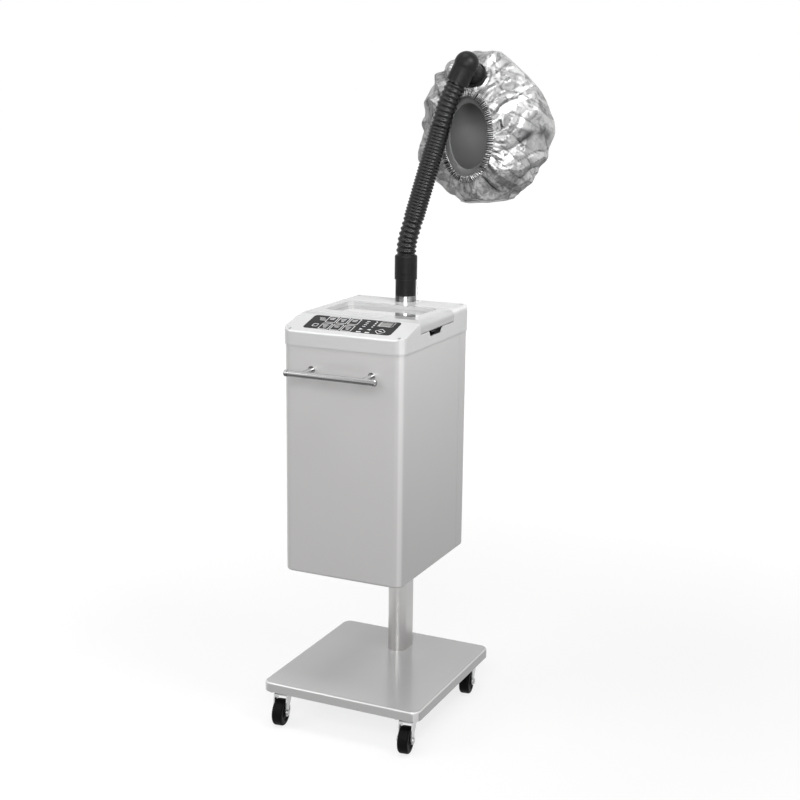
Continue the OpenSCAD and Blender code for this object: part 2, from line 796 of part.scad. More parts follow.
module lid() {
    z0 = lid_z + lid_gap;
    y0 = lid_y0 + lid_side_gap;
    y1 = lid_y1 - lid_side_gap;
    color([0.8, 0.8, 0.81]) on_floor() difference() {
        union() {
            difference() {
                intersection() {
                    cover_solid(0, body_top);
                    across(y0, y1, z0 - 0.5, cover_top + over);
                }
                intersection() {
                    cover_solid(cover_t, body_top);
                    across(y0 + cover_t, y1 - cover_t, body_top, cover_top);
                }
                // The right side's opening gap is taller than the hinge side's
                translate([0, y0 - over, z0 - over]) cube([cover_w, lid_d, over]);
            }
            // Underside of the tray
            translate([0, tray_y, cover_top - tray_deep - tray_t]) linear_extrude(tray_deep)
                rounded_square(tray_w + 2 * tray_t, tray_d + 2 * tray_t, 14 + tray_t);
        }
        translate([0, tray_y, cover_top - tray_deep]) linear_extrude(tray_deep + over)
            rounded_square(tray_w, tray_d, 14);
        translate([hinge_x, y0 - over, hinge_z]) rotate([-90, 0, 0]) cylinder(r = pin_d / 2 + fit, h = lid_d + 2 * over);
        // Round lower edge on the hinge side
        difference() {
            translate([-cover_w / 2 - over, y0 - over, body_top]) cube([hinge_r + over, lid_d + 2 * over, hinge_z - body_top]);
            translate([hinge_x, y0 - 2 * over, hinge_z]) rotate([-90, 0, 0]) cylinder(r = hinge_r, h = lid_d + 4 * over);
        }
    }
}

module tray_insert() {
    color([0.85, 0.85, 0.86]) on_floor() translate([0, tray_y, cover_top - tray_deep]) linear_extrude(1.5)
        rounded_square(tray_w - 2 * gap, tray_d - 2 * gap, 14 - gap);
}

module lid_pins() {
    color("silver") on_floor() for (v = [lid_y0 - cover_t, lid_y1 - lid_side_gap - cover_t - 2])
        translate([hinge_x, v, hinge_z]) rotate([-90, 0, 0]) cylinder(r = pin_d / 2, h = 2 * cover_t + lid_side_gap + 2);
}

/* Keypad */

module keypad() {
    color([0.12, 0.12, 0.13]) on_slope() translate([0, keypad_mid, -keypad_t]) difference() {
        linear_extrude(keypad_t) rounded_square(keypad_w, keypad_d, keypad_r);
        translate([display_x, display_y, keypad_t - 0.8]) linear_extrude(over)
            rounded_square(display_w + 2 * gap, display_d + 2 * gap, 1.5);
    }
}
display_x = keypad_w / 2 - 32;
display_y = keypad_d / 2 - 17;

module display_window() {
    color([0.6, 0.62, 0.62]) on_slope() translate([display_x, keypad_mid + display_y, -0.8])
        linear_extrude(0.8) rounded_square(display_w, display_d, 1.2);
}

module control_board() {
    z = -cover_t - board_drop - board_t;
    color("darkgreen") on_slope() translate([0, keypad_mid, z]) {
        translate([-board_w / 2, -board_d / 2, 0]) cube([board_w, board_d, board_t]);
        for (x = [-1, 1], y = [-1, 1]) translate([x * (board_w / 2 - 6), y * (board_d / 2 - 6), board_t])
            cylinder(r = 3, h = board_drop);
        translate([20, -5, -5]) cube([26, 12, 5]);
        translate([-60, -4, -8]) cube([30, 16, 8]);
    }
}

/* Handle */

module handle_bar() {
    color("silver") on_floor() translate([0, bar_y, bar_z]) rotate([0, 90, 0]) {
        cylinder(d = bar_d, h = bar_l - 12, center = true);
        for (s = [-1, 1]) translate([0, 0, s * (bar_l / 2 - 5)]) {
            cylinder(r = bar_cap_r, h = 6, center = true);
            translate([0, 0, s * 3]) mirror([0, 0, s < 0 ? 1 : 0])
                cylinder(r1 = bar_cap_r, r2 = bar_cap_r - 2, h = 2);
        }
    }
}

module handle_posts() {
    reach = bar_out - sqrt(pow(bar_d / 2, 2) - pow(post_r, 2));
    color("silver") on_floor() for (s = [-1, 1]) translate([s * post_gap / 2, body_front, bar_z]) rotate([90, 0, 0])
        difference() {
            union() {
                cylinder(r = post_foot_r, h = post_foot_t);
                cylinder(r = post_r, h = reach);
                // Screw and washer inside the wall
                translate([0, 0, -body_t - 4]) cylinder(r = screw_r, h = body_t + 5);
                translate([0, 0, -body_t - 3]) cylinder(r = 6, h = 3);
            }
            translate([0, 0, bar_out]) rotate([0, 90, 0]) cylinder(d = bar_d + 2 * fit, h = 40, center = true);
        }
}

/* Inside */

tank_z = body_top - 10 - tank_h;
tank_y = divider_y - 3 - tank_d / 2;
neck_y = tank_y;
neck_top = deck_z + 7;
strainer_t = 1;
strainer_deep = 30;
boiler_z = body_z + 92;
boiler_y = divider_y + divider_t + 3 + boiler_d / 2;
boiler_top = boiler_z + boiler_h;
feed_x = 30;
feed_y = divider_y - 20;
feed_z = boiler_z + 40;
feed_r = 5;
drain_r = 7;
drain_nut_r = drain_r + 5;
drain_x = -boiler_d / 2 + 22;
drain_y = pole_y - flange_d / 2 - drain_nut_r - 2;
drain_out = 32;
riser_r = 13;

module water_tank() {
    color([0.85, 0.9, 0.95]) on_floor() difference() {
        union() {
            translate([0, tank_y, tank_z]) linear_extrude(tank_h) rounded_square(tank_w, tank_d, 10);
            translate([0, neck_y, tank_z + tank_h - over]) cylinder(d = neck_d, h = neck_top - tank_z - tank_h + over);
        }
        translate([0, tank_y, tank_z + tank_t]) linear_extrude(tank_h - 2 * tank_t)
            rounded_square(tank_w - 2 * tank_t, tank_d - 2 * tank_t, 10 - tank_t);
        translate([0, neck_y, tank_z + tank_h - tank_t - over]) cylinder(d = neck_d - 2 * tank_t, h = 200);
        translate([feed_x, feed_y, tank_z - over]) cylinder(r = feed_r - 1.5, h = tank_t + 2 * over);
    }
}

module filler_strainer() {
    r = neck_d / 2 - tank_t - gap;
    color("white") on_floor() translate([0, neck_y, neck_top]) difference() {
        union() {
            cylinder(r = neck_d / 2 - 1, h = 2);
            translate([0, 0, -strainer_deep]) cylinder(r = r, h = strainer_deep + 1);
        }
        translate([0, 0, -strainer_deep + strainer_t]) cylinder(r = r - strainer_t, h = strainer_deep + 10);
        for (i = [0:5]) rotate([0, 0, i * 60]) translate([r * 0.55, 0, -strainer_deep - over])
            cylinder(r = 2, h = 3 * strainer_t + over);
    }
}

module feed_pipe() {
    color("white") on_floor() difference() {
        union() {
            translate([feed_x, feed_y, feed_z]) cylinder(r = feed_r, h = tank_z - feed_z);
            translate([feed_x, feed_y, feed_z]) sphere(feed_r);
            translate([feed_x, feed_y, feed_z]) rotate([-90, 0, 0])
                cylinder(r = feed_r, h = boiler_y - feed_y - sqrt(pow(boiler_d / 2, 2) - pow(feed_x + feed_r, 2)));
        }
        translate([feed_x, feed_y, feed_z]) cylinder(r = feed_r - 1.5, h = tank_z - feed_z + over);
        // The mouth follows the boiler's round wall
        translate([0, boiler_y, boiler_z]) cylinder(d = boiler_d + 2 * fit, h = boiler_h);
    }
}

module feed_valve() {
    z = (feed_z + tank_z) / 2;
    color("darkslateblue") on_floor() translate([feed_x, feed_y, z]) difference() {
        union() {
            cube([26, 26, 30], center = true);
            translate([-26, 0, 0]) rotate([0, 90, 0]) cylinder(r = 12, h = 30, center = true);
        }
        cylinder(r = feed_r + fit, h = 40, center = true);
    }
}

module boiler() {
    wall = 1.5;
    color("lightsteelblue") on_floor() translate([0, boiler_y, boiler_z]) difference() {
        union() {
            cylinder(d = boiler_d, h = boiler_h - 6);
            translate([0, 0, boiler_h - 6]) cylinder(d = boiler_d + 4, h = 6);
        }
        translate([0, 0, wall]) cylinder(d = boiler_d - 2 * wall, h = boiler_h - 6 - wall);
        translate([0, outlet_y - boiler_y, boiler_h - 6 - over]) cylinder(r = riser_r - 2, h = 6 + 2 * over);
        translate([drain_x, drain_y - boiler_y, -over]) cylinder(r = drain_r - 2, h = wall + 2 * over);
        translate([heater_x, 0, boiler_h - 6 - over]) cylinder(r = 10 + fit, h = 6 + 2 * over);
    }
}
heater_x = -18;

module heating_element() {
    low = boiler_z + 30;
    head = boiler_top;
    color("orangered") on_floor() translate([heater_x, boiler_y, 0]) {
        translate([0, 0, head - 6]) cylinder(r = 10, h = 6);
        translate([0, 0, head]) cylinder(r = 15, h = 8, $fn = 6);
        for (s = [-1, 1]) {
            translate([s * 6, 0, low]) cylinder(r = 3, h = head - low);
            translate([s * 6, 0, head + 8]) cylinder(r = 1.5, h = 10);
        }
        translate([0, 0, low]) rotate([90, 0, 0]) difference() {
            rotate_extrude() translate([6, 0]) circle(3);
            translate([-20, 0, -10]) cube([40, 20, 20]);
        }
    }
}

module steam_riser() {
    color("silver") on_floor() translate([0, outlet_y, boiler_top]) difference() {
        union() {
            cylinder(r = riser_r, h = cover_top - 32 - boiler_top);
            cylinder(r = riser_r + 4, h = 3);
        }
        translate([0, 0, -over]) cylinder(r = riser_r - 1.5, h = cover_top);
    }
}

module drain_valve() {
    color("goldenrod") on_floor() translate([drain_x, drain_y, 0]) difference() {
        union() {
            translate([0, 0, pan_z - drain_out]) cylinder(r = drain_r, h = boiler_z - pan_z + drain_out);
            translate([0, 0, pan_z - 4]) cylinder(r = drain_nut_r, h = 4, $fn = 6);
            translate([0, 0, pan_top]) cylinder(r = drain_nut_r, h = 4, $fn = 6);
            translate([0, 0, pan_z - 18]) rotate([90, 0, 0]) cylinder(r = 5, h = drain_r + 5);
        }
        translate([0, 0, pan_z - drain_out - over]) cylinder(r = drain_r - 2.5, h = 12);
        translate([0, -drain_r + 1, pan_z - 18]) rotate([90, 0, 0]) cylinder(r = 2.5 + fit, h = 10);
    }
}

module drain_lever() {
    color("red") on_floor() translate([drain_x, drain_y, pan_z - 18]) rotate([90, 0, 0]) {
        translate([0, 0, drain_r - 1 + gap]) cylinder(r = 2.5, h = 6 + 3);
        translate([0, 0, drain_r + 5 + gap]) cylinder(r = 6, h = 3);
        translate([-36, -4, drain_r + 5 + gap]) cube([36, 8, 3]);
    }
}

module power_board() {
    z = body_z + 40;
    y = divider_y - 8 - board_t;
    color("darkgreen") on_floor() translate([-100, y, z]) {
        cube([120, board_t, 150]);
        for (x = [8, 112], v = [8, 142]) translate([x, board_t, v]) rotate([-90, 0, 0]) cylinder(r = 3, h = 8);
        translate([12, -28, 14]) cube([42, 28, 48]);
        translate([70, -16, 20]) cube([20, 16, 28]);
        translate([14, -14, 90]) cube([60, 14, 20]);
    }
}

module power_inlet() {
    color([0.1, 0.1, 0.1]) on_rear(inlet_x, inlet_z) difference() {
        union() {
            linear_extrude(2) rounded_square(48, 30, 4);
            translate([0, 0, -22]) linear_extrude(22) square([27, 20], center = true);
        }
        translate([0, 0, -16]) linear_extrude(16 + 2 + over) square([23, 15], center = true);
    }
}

module power_switch() {
    color([0.1, 0.1, 0.1]) on_rear(inlet_x, switch_z) difference() {
        union() {
            linear_extrude(2) rounded_square(26, 18, 2);
            translate([0, 0, -18]) linear_extrude(18) square([21.4, 13.4], center = true);
        }
        translate([0, 0, -9]) linear_extrude(9 + 2 + over) square([18.6, 11], center = true);
        translate([0, 0, -rocker_in]) rotate([90, 0, 0]) cylinder(r = trunnion_r + fit, h = 20, center = true);
    }
}

module switch_rocker() {
    color([0.6, 0.1, 0.1]) on_rear(inlet_x, switch_z) translate([0, 0, -rocker_in]) rotate([0, rocker_a, 0]) {
        intersection() {
            translate([0, 0, 2]) cube([17, 10.4, 8], center = true);
            rotate([90, 0, 0]) cylinder(r = 9, h = 20, center = true);
        }
        rotate([90, 0, 0]) cylinder(r = trunnion_r, h = 12.6, center = true);
    }
}
rocker_a = 8;
rocker_in = 3;
trunnion_r = 1.2;

/* Steam outlet */

module outlet_pipe() {
    r = spigot_d / 2;
    color("white") on_floor() translate([0, outlet_y, 0]) difference() {
        union() {
            translate([0, 0, cover_top]) cylinder(d = ring_d, h = ring_h);
            translate([0, 0, cover_top - 30]) cylinder(r = r, h = 30 + ring_h + spigot_h);
            // Nut and flange under the cover
            translate([0, 0, cover_top - cover_t - 5]) cylinder(r = outlet_flange_r, h = 5);
        }
        translate([0, 0, cover_top - 32]) cylinder(r = r - spigot_wall, h = 32 + ring_h + spigot_h + over);
    }
    color("white") on_floor() translate([0, outlet_y, cover_top - 32]) difference() {
        cylinder(r = r, h = 4);
        translate([0, 0, -over]) cylinder(r = riser_r + fit, h = 4 + 2 * over);
    }
}

// Flat spring that steadies the cuff, on the side that the hose leans to
module cuff_spring() {
    x = cuff_low_d / 2 + 0.4;
    h = ring_h + cuff_low_h - 3;
    color("silver") on_floor() translate([0, outlet_y, cover_top]) rotate([0, 0, lean_to])
        rotate([90, 0, 0]) linear_extrude(5, center = true) {
            polygon([[x + 0.3, 0], [x + 10, 0], [x + 10, 1], [x + 1.5, 1], [x + 4, h * 0.45], [x + 1.2, h - 2],
                [x + 2.4, h], [x + 1.6, h], [x, h - 2], [x + 2.8, h * 0.45]]);
        }
}

module hose_cuff() {
    socket_r = hose_d / 2 + socket_wall_gap;
    soft = 5;
    color([0.13, 0.13, 0.14]) on_floor() translate([0, outlet_y, cuff_z]) rotate_extrude() difference() {
        union() {
            square([cuff_low_d / 2, cuff_h - soft]);
            translate([0, cuff_low_h]) square([cuff_d / 2, cuff_h - cuff_low_h - soft]);
            translate([0, cuff_h - soft]) square([cuff_d / 2 - soft, soft]);
            translate([cuff_d / 2 - soft, cuff_h - soft]) circle(soft);
        }
        translate([0, -over]) square([spigot_d / 2 + fit, spigot_h + 2 + over]);
        translate([0, -over]) square([steam_r, cuff_h + 2 * over]);
        translate([0, cuff_h - hose_end]) square([socket_r, hose_end + over]);
    }
}

/* Hose */

// Where the hose's middle line is after t millimetres: [reach along the lean, height, lean]
function hose_at(t) =
    t <= t_low ? [0, t, 0] :
    t <= t_run ? let (a = lean_low * (t - t_low) / bend_low_l)
        [bend_low_r * (1 - cos(a)), t_low + bend_low_r * sin(a), a] :
    t <= t_top ? let (p = hose_at(t_run))
        [p[0] + (t - t_run) * sin(lean_low), p[1] + (t - t_run) * cos(lean_low), lean_low] :
    t <= t_end ? let (p = hose_at(t_top), a = lean_low + (lean_top - lean_low) * (t - t_top) / bend_top_l)
        [p[0] + bend_top_r * (cos(lean_low) - cos(a)), p[1] + bend_top_r * (sin(a) - sin(lean_low)), a] :
    let (p = hose_at(t_end)) [p[0] + (t - t_end) * sin(lean_top), p[1] + (t - t_end) * cos(lean_top), lean_top];

// A ring of the hose: its corners at t, on radius r
function hose_ring(t, r) = let (p = hose_at(t)) [
    for (i = [0:hose_sides - 1]) let (a = (i + 0.5) * 360 / hose_sides)
        [p[0] + r * cos(a) * cos(p[2]), r * sin(a), p[1] - r * cos(a) * sin(p[2])]
];

// The rings of one ribbed stretch from t: a valley and a crest for each rib
function ribs(t, rib) = [for (i = [0:rib[0] - 1]) each [[t + i * rib[1], rib[3]], [t + (i + 0.5) * rib[1], rib[2]]]];

rib_start = hose_end + 3;
rib_mid_start = rib_start + rib_low[0] * rib_low[1];
rib_top_start = rib_mid_start + rib_mid[0] * rib_mid[1];
rib_pitch_top = (mouth_t - 2 - rib_top_start) / rib_top[0];
hose_outside = concat(
    [[0, hose_d / 2], [hose_end, hose_d / 2]],
    ribs(rib_start, rib_low), ribs(rib_mid_start, rib_mid),
    ribs(rib_top_start, [rib_top[0], rib_pitch_top, rib_top[1], rib_top[2]]),
    [[mouth_t - 1, hose_d / 2], [hose_l, hose_d / 2]]
);
bore_steps = 16;
hose_inside = [for (i = [0:bore_steps]) [i * hose_l / bore_steps, hose_bore / 2]];

// A closed tube from two stacks of rings, the outer one and the bore
module ring_tube(outer, inner, n) {
    a = len(outer);
    b = len(inner);
    points = concat([for (ring = outer) each ring], [for (ring = inner) each ring]);
    function at(k, i) = k * n + (i + n) % n;
    faces = concat(
        [for (k = [0:a - 2], i = [0:n - 1]) each
            [[at(k, i), at(k + 1, i), at(k + 1, i + 1)], [at(k, i), at(k + 1, i + 1), at(k, i + 1)]]],
        [for (k = [a:a + b - 2], i = [0:n - 1]) each
            [[at(k, i), at(k + 1, i + 1), at(k + 1, i)], [at(k, i), at(k, i + 1), at(k + 1, i + 1)]]],
        [for (i = [0:n - 1]) each [[at(0, i), at(0, i + 1), at(a, i + 1)], [at(0, i), at(a, i + 1), at(a, i)]]],
        [for (i = [0:n - 1]) each [[at(a - 1, i), at(a + b - 1, i), at(a + b - 1, i + 1)],
            [at(a - 1, i), at(a + b - 1, i + 1), at(a - 1, i + 1)]]]
    );
    polyhedron(points, faces, convexity = 10);
}

module hose() {
    color([0.08, 0.08, 0.09]) on_floor() translate([0, outlet_y, hose_z]) rotate([0, 0, lean_to])
        ring_tube([for (s = hose_outside) hose_ring(s[0], s[1])], [for (s = hose_inside) hose_ring(s[0], s[1])],
            hose_sides);
}

/* Elbow */

ball = hose_at(ball_t);
ball_x = ball[0] * cos(lean_to);
ball_y = outlet_y + ball[0] * sin(lean_to);
ball_z = hose_z + ball[1];

// The hose's frame at t: +Z runs on along the hose
module at_hose(t) {
    p = hose_at(t);
    on_floor() translate([0, outlet_y, hose_z]) rotate([0, 0, lean_to]) translate([p[0], 0, p[1]])
        rotate([0, p[2], 0]) children();
}

// The branch's frame: the elbow's middle, +Z along the branch to the hood
module on_branch() {
    on_floor() translate([ball_x, ball_y, ball_z]) rotate([-90 - branch_a, 0, 0]) children();
}

module elbow() {
    color([0.1, 0.1, 0.11]) difference() {
        union() {
            at_hose(mouth_t) cylinder(r = elbow_r, h = ball_t - mouth_t);
            on_branch() sphere(elbow_ball_r);
            on_branch() cylinder(r = elbow_r, h = branch_l);
            on_branch() cylinder(r = branch_r, h = branch_l + spigot_out);
        }
        at_hose(mouth_t - over) cylinder(r = hose_d / 2 + socket_wall_gap, h = hose_l - mouth_t + over);
        at_hose(hose_l - over) cylinder(r = steam_r, h = ball_t - hose_l + over);
        on_branch() sphere(steam_r + 1);
        on_branch() cylinder(r = steam_r, h = branch_l + spigot_out + over);
    }
}

/* Hood */

// The hood hangs from the collar: seat_up and seat_front say where on its top the branch comes in
cover_at = branch_l + 11.4;
seat_up = 0.671;
seat_front = 0.674;
hood_x = ball_x - 8;
hood_y = ball_y + cover_at * cos(branch_a) + seat_front * hood_d / 2;
hood_z = ball_z - cover_at * sin(branch_a) - seat_up * hood_h / 2;
mouth_drop = 11;
mouth_aside = 3;
fabric_steps = 36;
fabric_rows = 16;
dome_share = 0.87;
dome_deep = 0.85;
fold_deep = 0.08;
fabric_k = 0.978;

module hood_collar() {
    color([0.08, 0.08, 0.09]) on_branch() translate([0, 0, branch_l + gap]) rotate_extrude() difference() {
        union() {
            square([collar_r, collar_t]);
            square([collar_r - 1, dome_in]);
            square([sleeve_r, sleeve_l]);
        }
        translate([0, -over]) square([branch_r + fit, sleeve_l + 2 * over]);
    }
}

module hood_nut() {
    color([0.08, 0.08, 0.09]) on_branch() translate([0, 0, branch_l + gap + sleeve_l - nut_t - 1]) difference() {
        cylinder(r = collar_r + 3, h = nut_t);
        translate([0, 0, -over]) cylinder(r = sleeve_r + fit, h = nut_t + 2 * over);
    }
}

// A point of an egg shape that opens to the front: turn a about the depth axis, share v from rear to mouth
function egg(a, v, w, d, h, open_w, open_h) =
    let (
        t = v * 140,
        blend = v < 0.7 ? 0 : pow((v - 0.7) / 0.3, 1.3),
        up = sin(t) * sin(a),
        shell = [w / 2 * sin(t) * cos(a), d / 2 * (cos(t) - 0.22 * up * up), h / 2 * up],
        rim = [open_w / 2 * cos(a) + mouth_aside, -0.9 * d / 2, open_h / 2 * sin(a) - mouth_drop]
    )
    shell * (1 - blend) + rim * blend;

// Folds of the cloth: 0 on a crest and 1 in a hollow. Six wide ones run from back to front, and the elastic's
// gathers add narrow ones near the mouth
function fold(a, v) = let (
        wide = 0.5 - 0.5 * cos(6 * (a - 2) + 100 * cos(a - 65)),
        narrow = 0.5 - 0.5 * cos(18 * a + 40 * sin(a))
    )
    wide * sin(180 * v) + 0.35 * narrow * sin(180 * pow(v, 2.5));

function cloth_point(a, v, k) = egg(a, v, hood_w, hood_d, hood_h, mouth_w, mouth_h) * (1 - fold_deep * fold(a, v)) * k;

function dome_point(a, v, k) = egg(a, v, hood_w * dome_share, hood_d * dome_deep, hood_h * dome_share,
    mouth_w * 1.15, mouth_h * 1.1) * k;

// A shell from rows of points, closed at the rear pole and open at the mouth
module egg_shell(outer, inner, n) {
    rows = len(outer);
    points = concat([outer[0][0]], [for (k = [1:rows - 1]) each outer[k]], [inner[0][0]],
        [for (k = [1:rows - 1]) each inner[k]]);
    half = 1 + (rows - 1) * n;
    function at(k, i) = 1 + (k - 1) * n + (i + n) % n;
    faces = concat(
        [for (i = [0:n - 1]) [0, at(1, i + 1), at(1, i)]],
        [for (k = [1:rows - 2], i = [0:n - 1]) each
            [[at(k, i), at(k, i + 1), at(k + 1, i + 1)], [at(k, i), at(k + 1, i + 1), at(k + 1, i)]]],
        [for (i = [0:n - 1]) [half, half + at(1, i), half + at(1, i + 1)]],
        [for (k = [1:rows - 2], i = [0:n - 1]) each
            [[half + at(k, i), half + at(k + 1, i + 1), half + at(k, i + 1)],
             [half + at(k, i), half + at(k + 1, i), half + at(k + 1, i + 1)]]],
        [for (i = [0:n - 1]) each
            [[at(rows - 1, i), at(rows - 1, i + 1), half + at(rows - 1, i + 1)],
             [at(rows - 1, i), half + at(rows - 1, i + 1), half + at(rows - 1, i)]]]
    );
    polyhedron(points, faces, convexity = 10);
}

module hood_cover() {
    n = fabric_steps;
    m = fabric_rows;
    color([0.85, 0.85, 0.87]) difference() {
        on_floor() translate([hood_x, hood_y, hood_z]) egg_shell(
            [for (k = [0:m]) [for (i = [0:n - 1]) cloth_point(i * 360 / n, k / m, 1)]],
            [for (k = [0:m]) [for (i = [0:n - 1]) cloth_point(i * 360 / n, k / m, fabric_k)]], n);
        on_branch() translate([0, 0, branch_l - 20]) cylinder(r = collar_r - 1 + gap, h = 60);
    }
}

module hood_dome() {
    n = 32;
    m = 12;
    color([0.3, 0.3, 0.31]) difference() {
        on_floor() translate([hood_x, hood_y, hood_z]) egg_shell(
            [for (k = [0:m]) [for (i = [0:n - 1]) dome_point(i * 360 / n, k / m, 1)]],
            [for (k = [0:m]) [for (i = [0:n - 1]) dome_point(i * 360 / n, k / m, 0.975)]], n);
        on_branch() translate([0, 0, branch_l]) cylinder(r = sleeve_r + gap, h = 60);
    }
}

module elastic_band() {
    n = 48;
    around = 6;
    band_in = 3.85;
    function band_point(i, j) = let (
            a = i * 360 / n,
            b = j * 360 / around,
            r = 3.5 + 1.2 * (i % 2),
            c = cloth_point(a, 1, 1)
        )
        [c[0] * (1 - band_in / norm([c[0], c[2]])) + r * cos(b) * cos(a), c[1] - band_in + r * sin(b),
         c[2] * (1 - band_in / norm([c[0], c[2]])) + r * cos(b) * sin(a)];
    points = [for (i = [0:n - 1], j = [0:around - 1]) band_point(i, j)];
    function at(i, j) = (i % n) * around + j % around;
    faces = [for (i = [0:n - 1], j = [0:around - 1]) each
        [[at(i, j), at(i + 1, j + 1), at(i + 1, j)], [at(i, j), at(i, j + 1), at(i + 1, j + 1)]]];
    color([0.8, 0.8, 0.82]) on_floor() translate([hood_x, hood_y, hood_z]) polyhedron(points, faces, convexity = 10);
}

// Middle of the whole steamer, from the base's centre: between the base's left side and the hood's right side,
// and between the handle bar's front and the hood's back
hood_points = [for (k = [0:fabric_rows], i = [0:fabric_steps - 1])
    cloth_point(i * 360 / fabric_steps, k / fabric_rows, 1)];
mid_x = (hood_x + max([for (p = hood_points) p[0]]) - base_w / 2) / 2;
mid_y = (hood_y + max([for (p = hood_points) p[1]]) + bar_y - bar_cap_r) / 2;

base_tray();
base_plate();
base_stiffener();
caster_plates();
caster_bolts();
caster_fork(-1, -1);  // caster_fork_fl
caster_fork(1, -1);  // caster_fork_fr
caster_fork(-1, 1);  // caster_fork_rl
caster_fork(1, 1);  // caster_fork_rr
caster_axle(-1, -1);  // caster_axle_fl
caster_axle(1, -1);  // caster_axle_fr
caster_axle(-1, 1);  // caster_axle_rl
caster_axle(1, 1);  // caster_axle_rr
caster_wheel(-1, -1);  // caster_wheel_fl
caster_wheel(1, -1);  // caster_wheel_fr
caster_wheel(-1, 1);  // caster_wheel_rl
caster_wheel(1, 1);  // caster_wheel_rr
pole_tube();
pole_plugs();
pole_flange();
pole_bolts();
cabinet_shell();
rear_panel();
rear_screws();
bottom_pan();
chassis();
top_cover();
cover_screws();
lid();
tray_insert();
lid_pins();
keypad();
display_window();
control_board();
handle_bar();
handle_posts();
water_tank();
filler_strainer();
feed_pipe();
feed_valve();
boiler();
heating_element();
steam_riser();
drain_valve();
drain_lever();
power_board();
power_inlet();
power_switch();
switch_rocker();
outlet_pipe();
cuff_spring();
hose_cuff();
hose();
elbow();
hood_collar();
hood_nut();
hood_dome();
hood_cover();
elastic_band();
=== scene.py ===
import math
import random

import bmesh
import bpy
from mathutils import Matrix, Vector, noise
from mathutils.bvhtree import BVHTree


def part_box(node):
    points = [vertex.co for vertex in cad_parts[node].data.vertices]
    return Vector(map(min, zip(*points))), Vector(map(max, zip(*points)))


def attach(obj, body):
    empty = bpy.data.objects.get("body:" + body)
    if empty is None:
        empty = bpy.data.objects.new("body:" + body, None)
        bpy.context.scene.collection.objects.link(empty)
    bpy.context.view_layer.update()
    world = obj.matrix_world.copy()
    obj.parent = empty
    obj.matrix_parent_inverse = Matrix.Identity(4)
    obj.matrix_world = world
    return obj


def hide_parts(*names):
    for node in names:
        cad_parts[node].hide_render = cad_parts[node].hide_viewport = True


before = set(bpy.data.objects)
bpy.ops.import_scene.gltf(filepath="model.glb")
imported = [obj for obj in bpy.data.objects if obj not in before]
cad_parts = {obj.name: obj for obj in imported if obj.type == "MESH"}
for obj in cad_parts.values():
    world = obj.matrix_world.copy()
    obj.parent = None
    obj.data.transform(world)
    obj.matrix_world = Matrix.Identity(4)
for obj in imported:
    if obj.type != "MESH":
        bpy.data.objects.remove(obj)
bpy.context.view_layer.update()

# The camera. The steamer stands a little turned and seen from above, so the front, the right
# side and the top all show. Places are measured from the middle of the base, on the floor.
low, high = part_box("base_tray")
middle = Vector(((low.x + high.x) / 2, (low.y + high.y) / 2, 0))
turn, tilt, roll = math.radians(24.954), math.radians(13.196), math.radians(0.669)
back = Vector((math.sin(turn) * math.cos(tilt), -math.cos(turn) * math.cos(tilt), math.sin(tilt)))
right = Vector((math.cos(turn), math.sin(turn), 0))
up = back.cross(right)
camera_x = right * math.cos(roll) + up * math.sin(roll)
camera_y = up * math.cos(roll) - right * math.sin(roll)
camera_at = middle + Vector((1.3469, -2.7977, 1.4524))
camera = bpy.data.objects.new("camera", bpy.data.cameras.new("camera"))
camera.data.lens, camera.data.sensor_width = 65.10, 36
camera.matrix_world = Matrix.Translation(camera_at) @ Matrix((camera_x, camera_y, back)).transposed().to_4x4()
bpy.context.scene.collection.objects.link(camera)
bpy.context.scene.camera = camera
bpy.context.scene.view_settings.view_transform = "Standard"

# The studio: a pale floor, a white surrounding and five soft lamps. The big ones hang high, in
# front and overhead, so the cabinet is brightest under its cover and darkens towards the floor.


def new_material(name, colour, metallic=0.0, roughness=0.5):
    """A material with one Principled shader. Gives back the material, its tree and the shader."""
    made = bpy.data.materials.new(name)
    made.use_nodes = True
    made.diffuse_color = (*colour, 1)
    shader = made.node_tree.nodes["Principled BSDF"]
    shader.inputs["Base Color"].default_value = (*colour, 1)
    shader.inputs["Metallic"].default_value = metallic
    shader.inputs["Roughness"].default_value = roughness
    return made, made.node_tree, shader


def feed(tree, socket, value):
    """Puts a plain value into a socket, or links it to another socket."""
    if isinstance(value, bpy.types.NodeSocket):
        tree.links.new(value, socket)
    else:
        socket.default_value = value


def number(tree, kind, first, second):
    """A Math node of that kind on two sockets or plain numbers. Gives back its output."""
    node = tree.nodes.new("ShaderNodeMath")
    node.operation = kind
    feed(tree, node.inputs[0], first)
    feed(tree, node.inputs[1], second)
    return node.outputs[0]


def vector(tree, kind, first, second=None):
    """The same with a Vector Math node. Gives back its vector, or its number where it makes one."""
    node = tree.nodes.new("ShaderNodeVectorMath")
    node.operation = kind
    feed(tree, node.inputs[0], first)
    if second is not None:
        feed(tree, node.inputs["Scale" if kind == "SCALE" else 1], second)
    return node.outputs["Value" if kind in ("DOT_PRODUCT", "LENGTH") else "Vector"]


def remap(tree, value, before, after, kind="LINEAR"):
    """Takes a value from one range, given as a pair, to another. Gives back the output."""
    node = tree.nodes.new("ShaderNodeMapRange")
    node.interpolation_type = kind
    for socket, given in zip(("Value", "From Min", "From Max", "To Min", "To Max"), (value, *before, *after)):
        feed(tree, node.inputs[socket], given)
    return node.outputs[0]


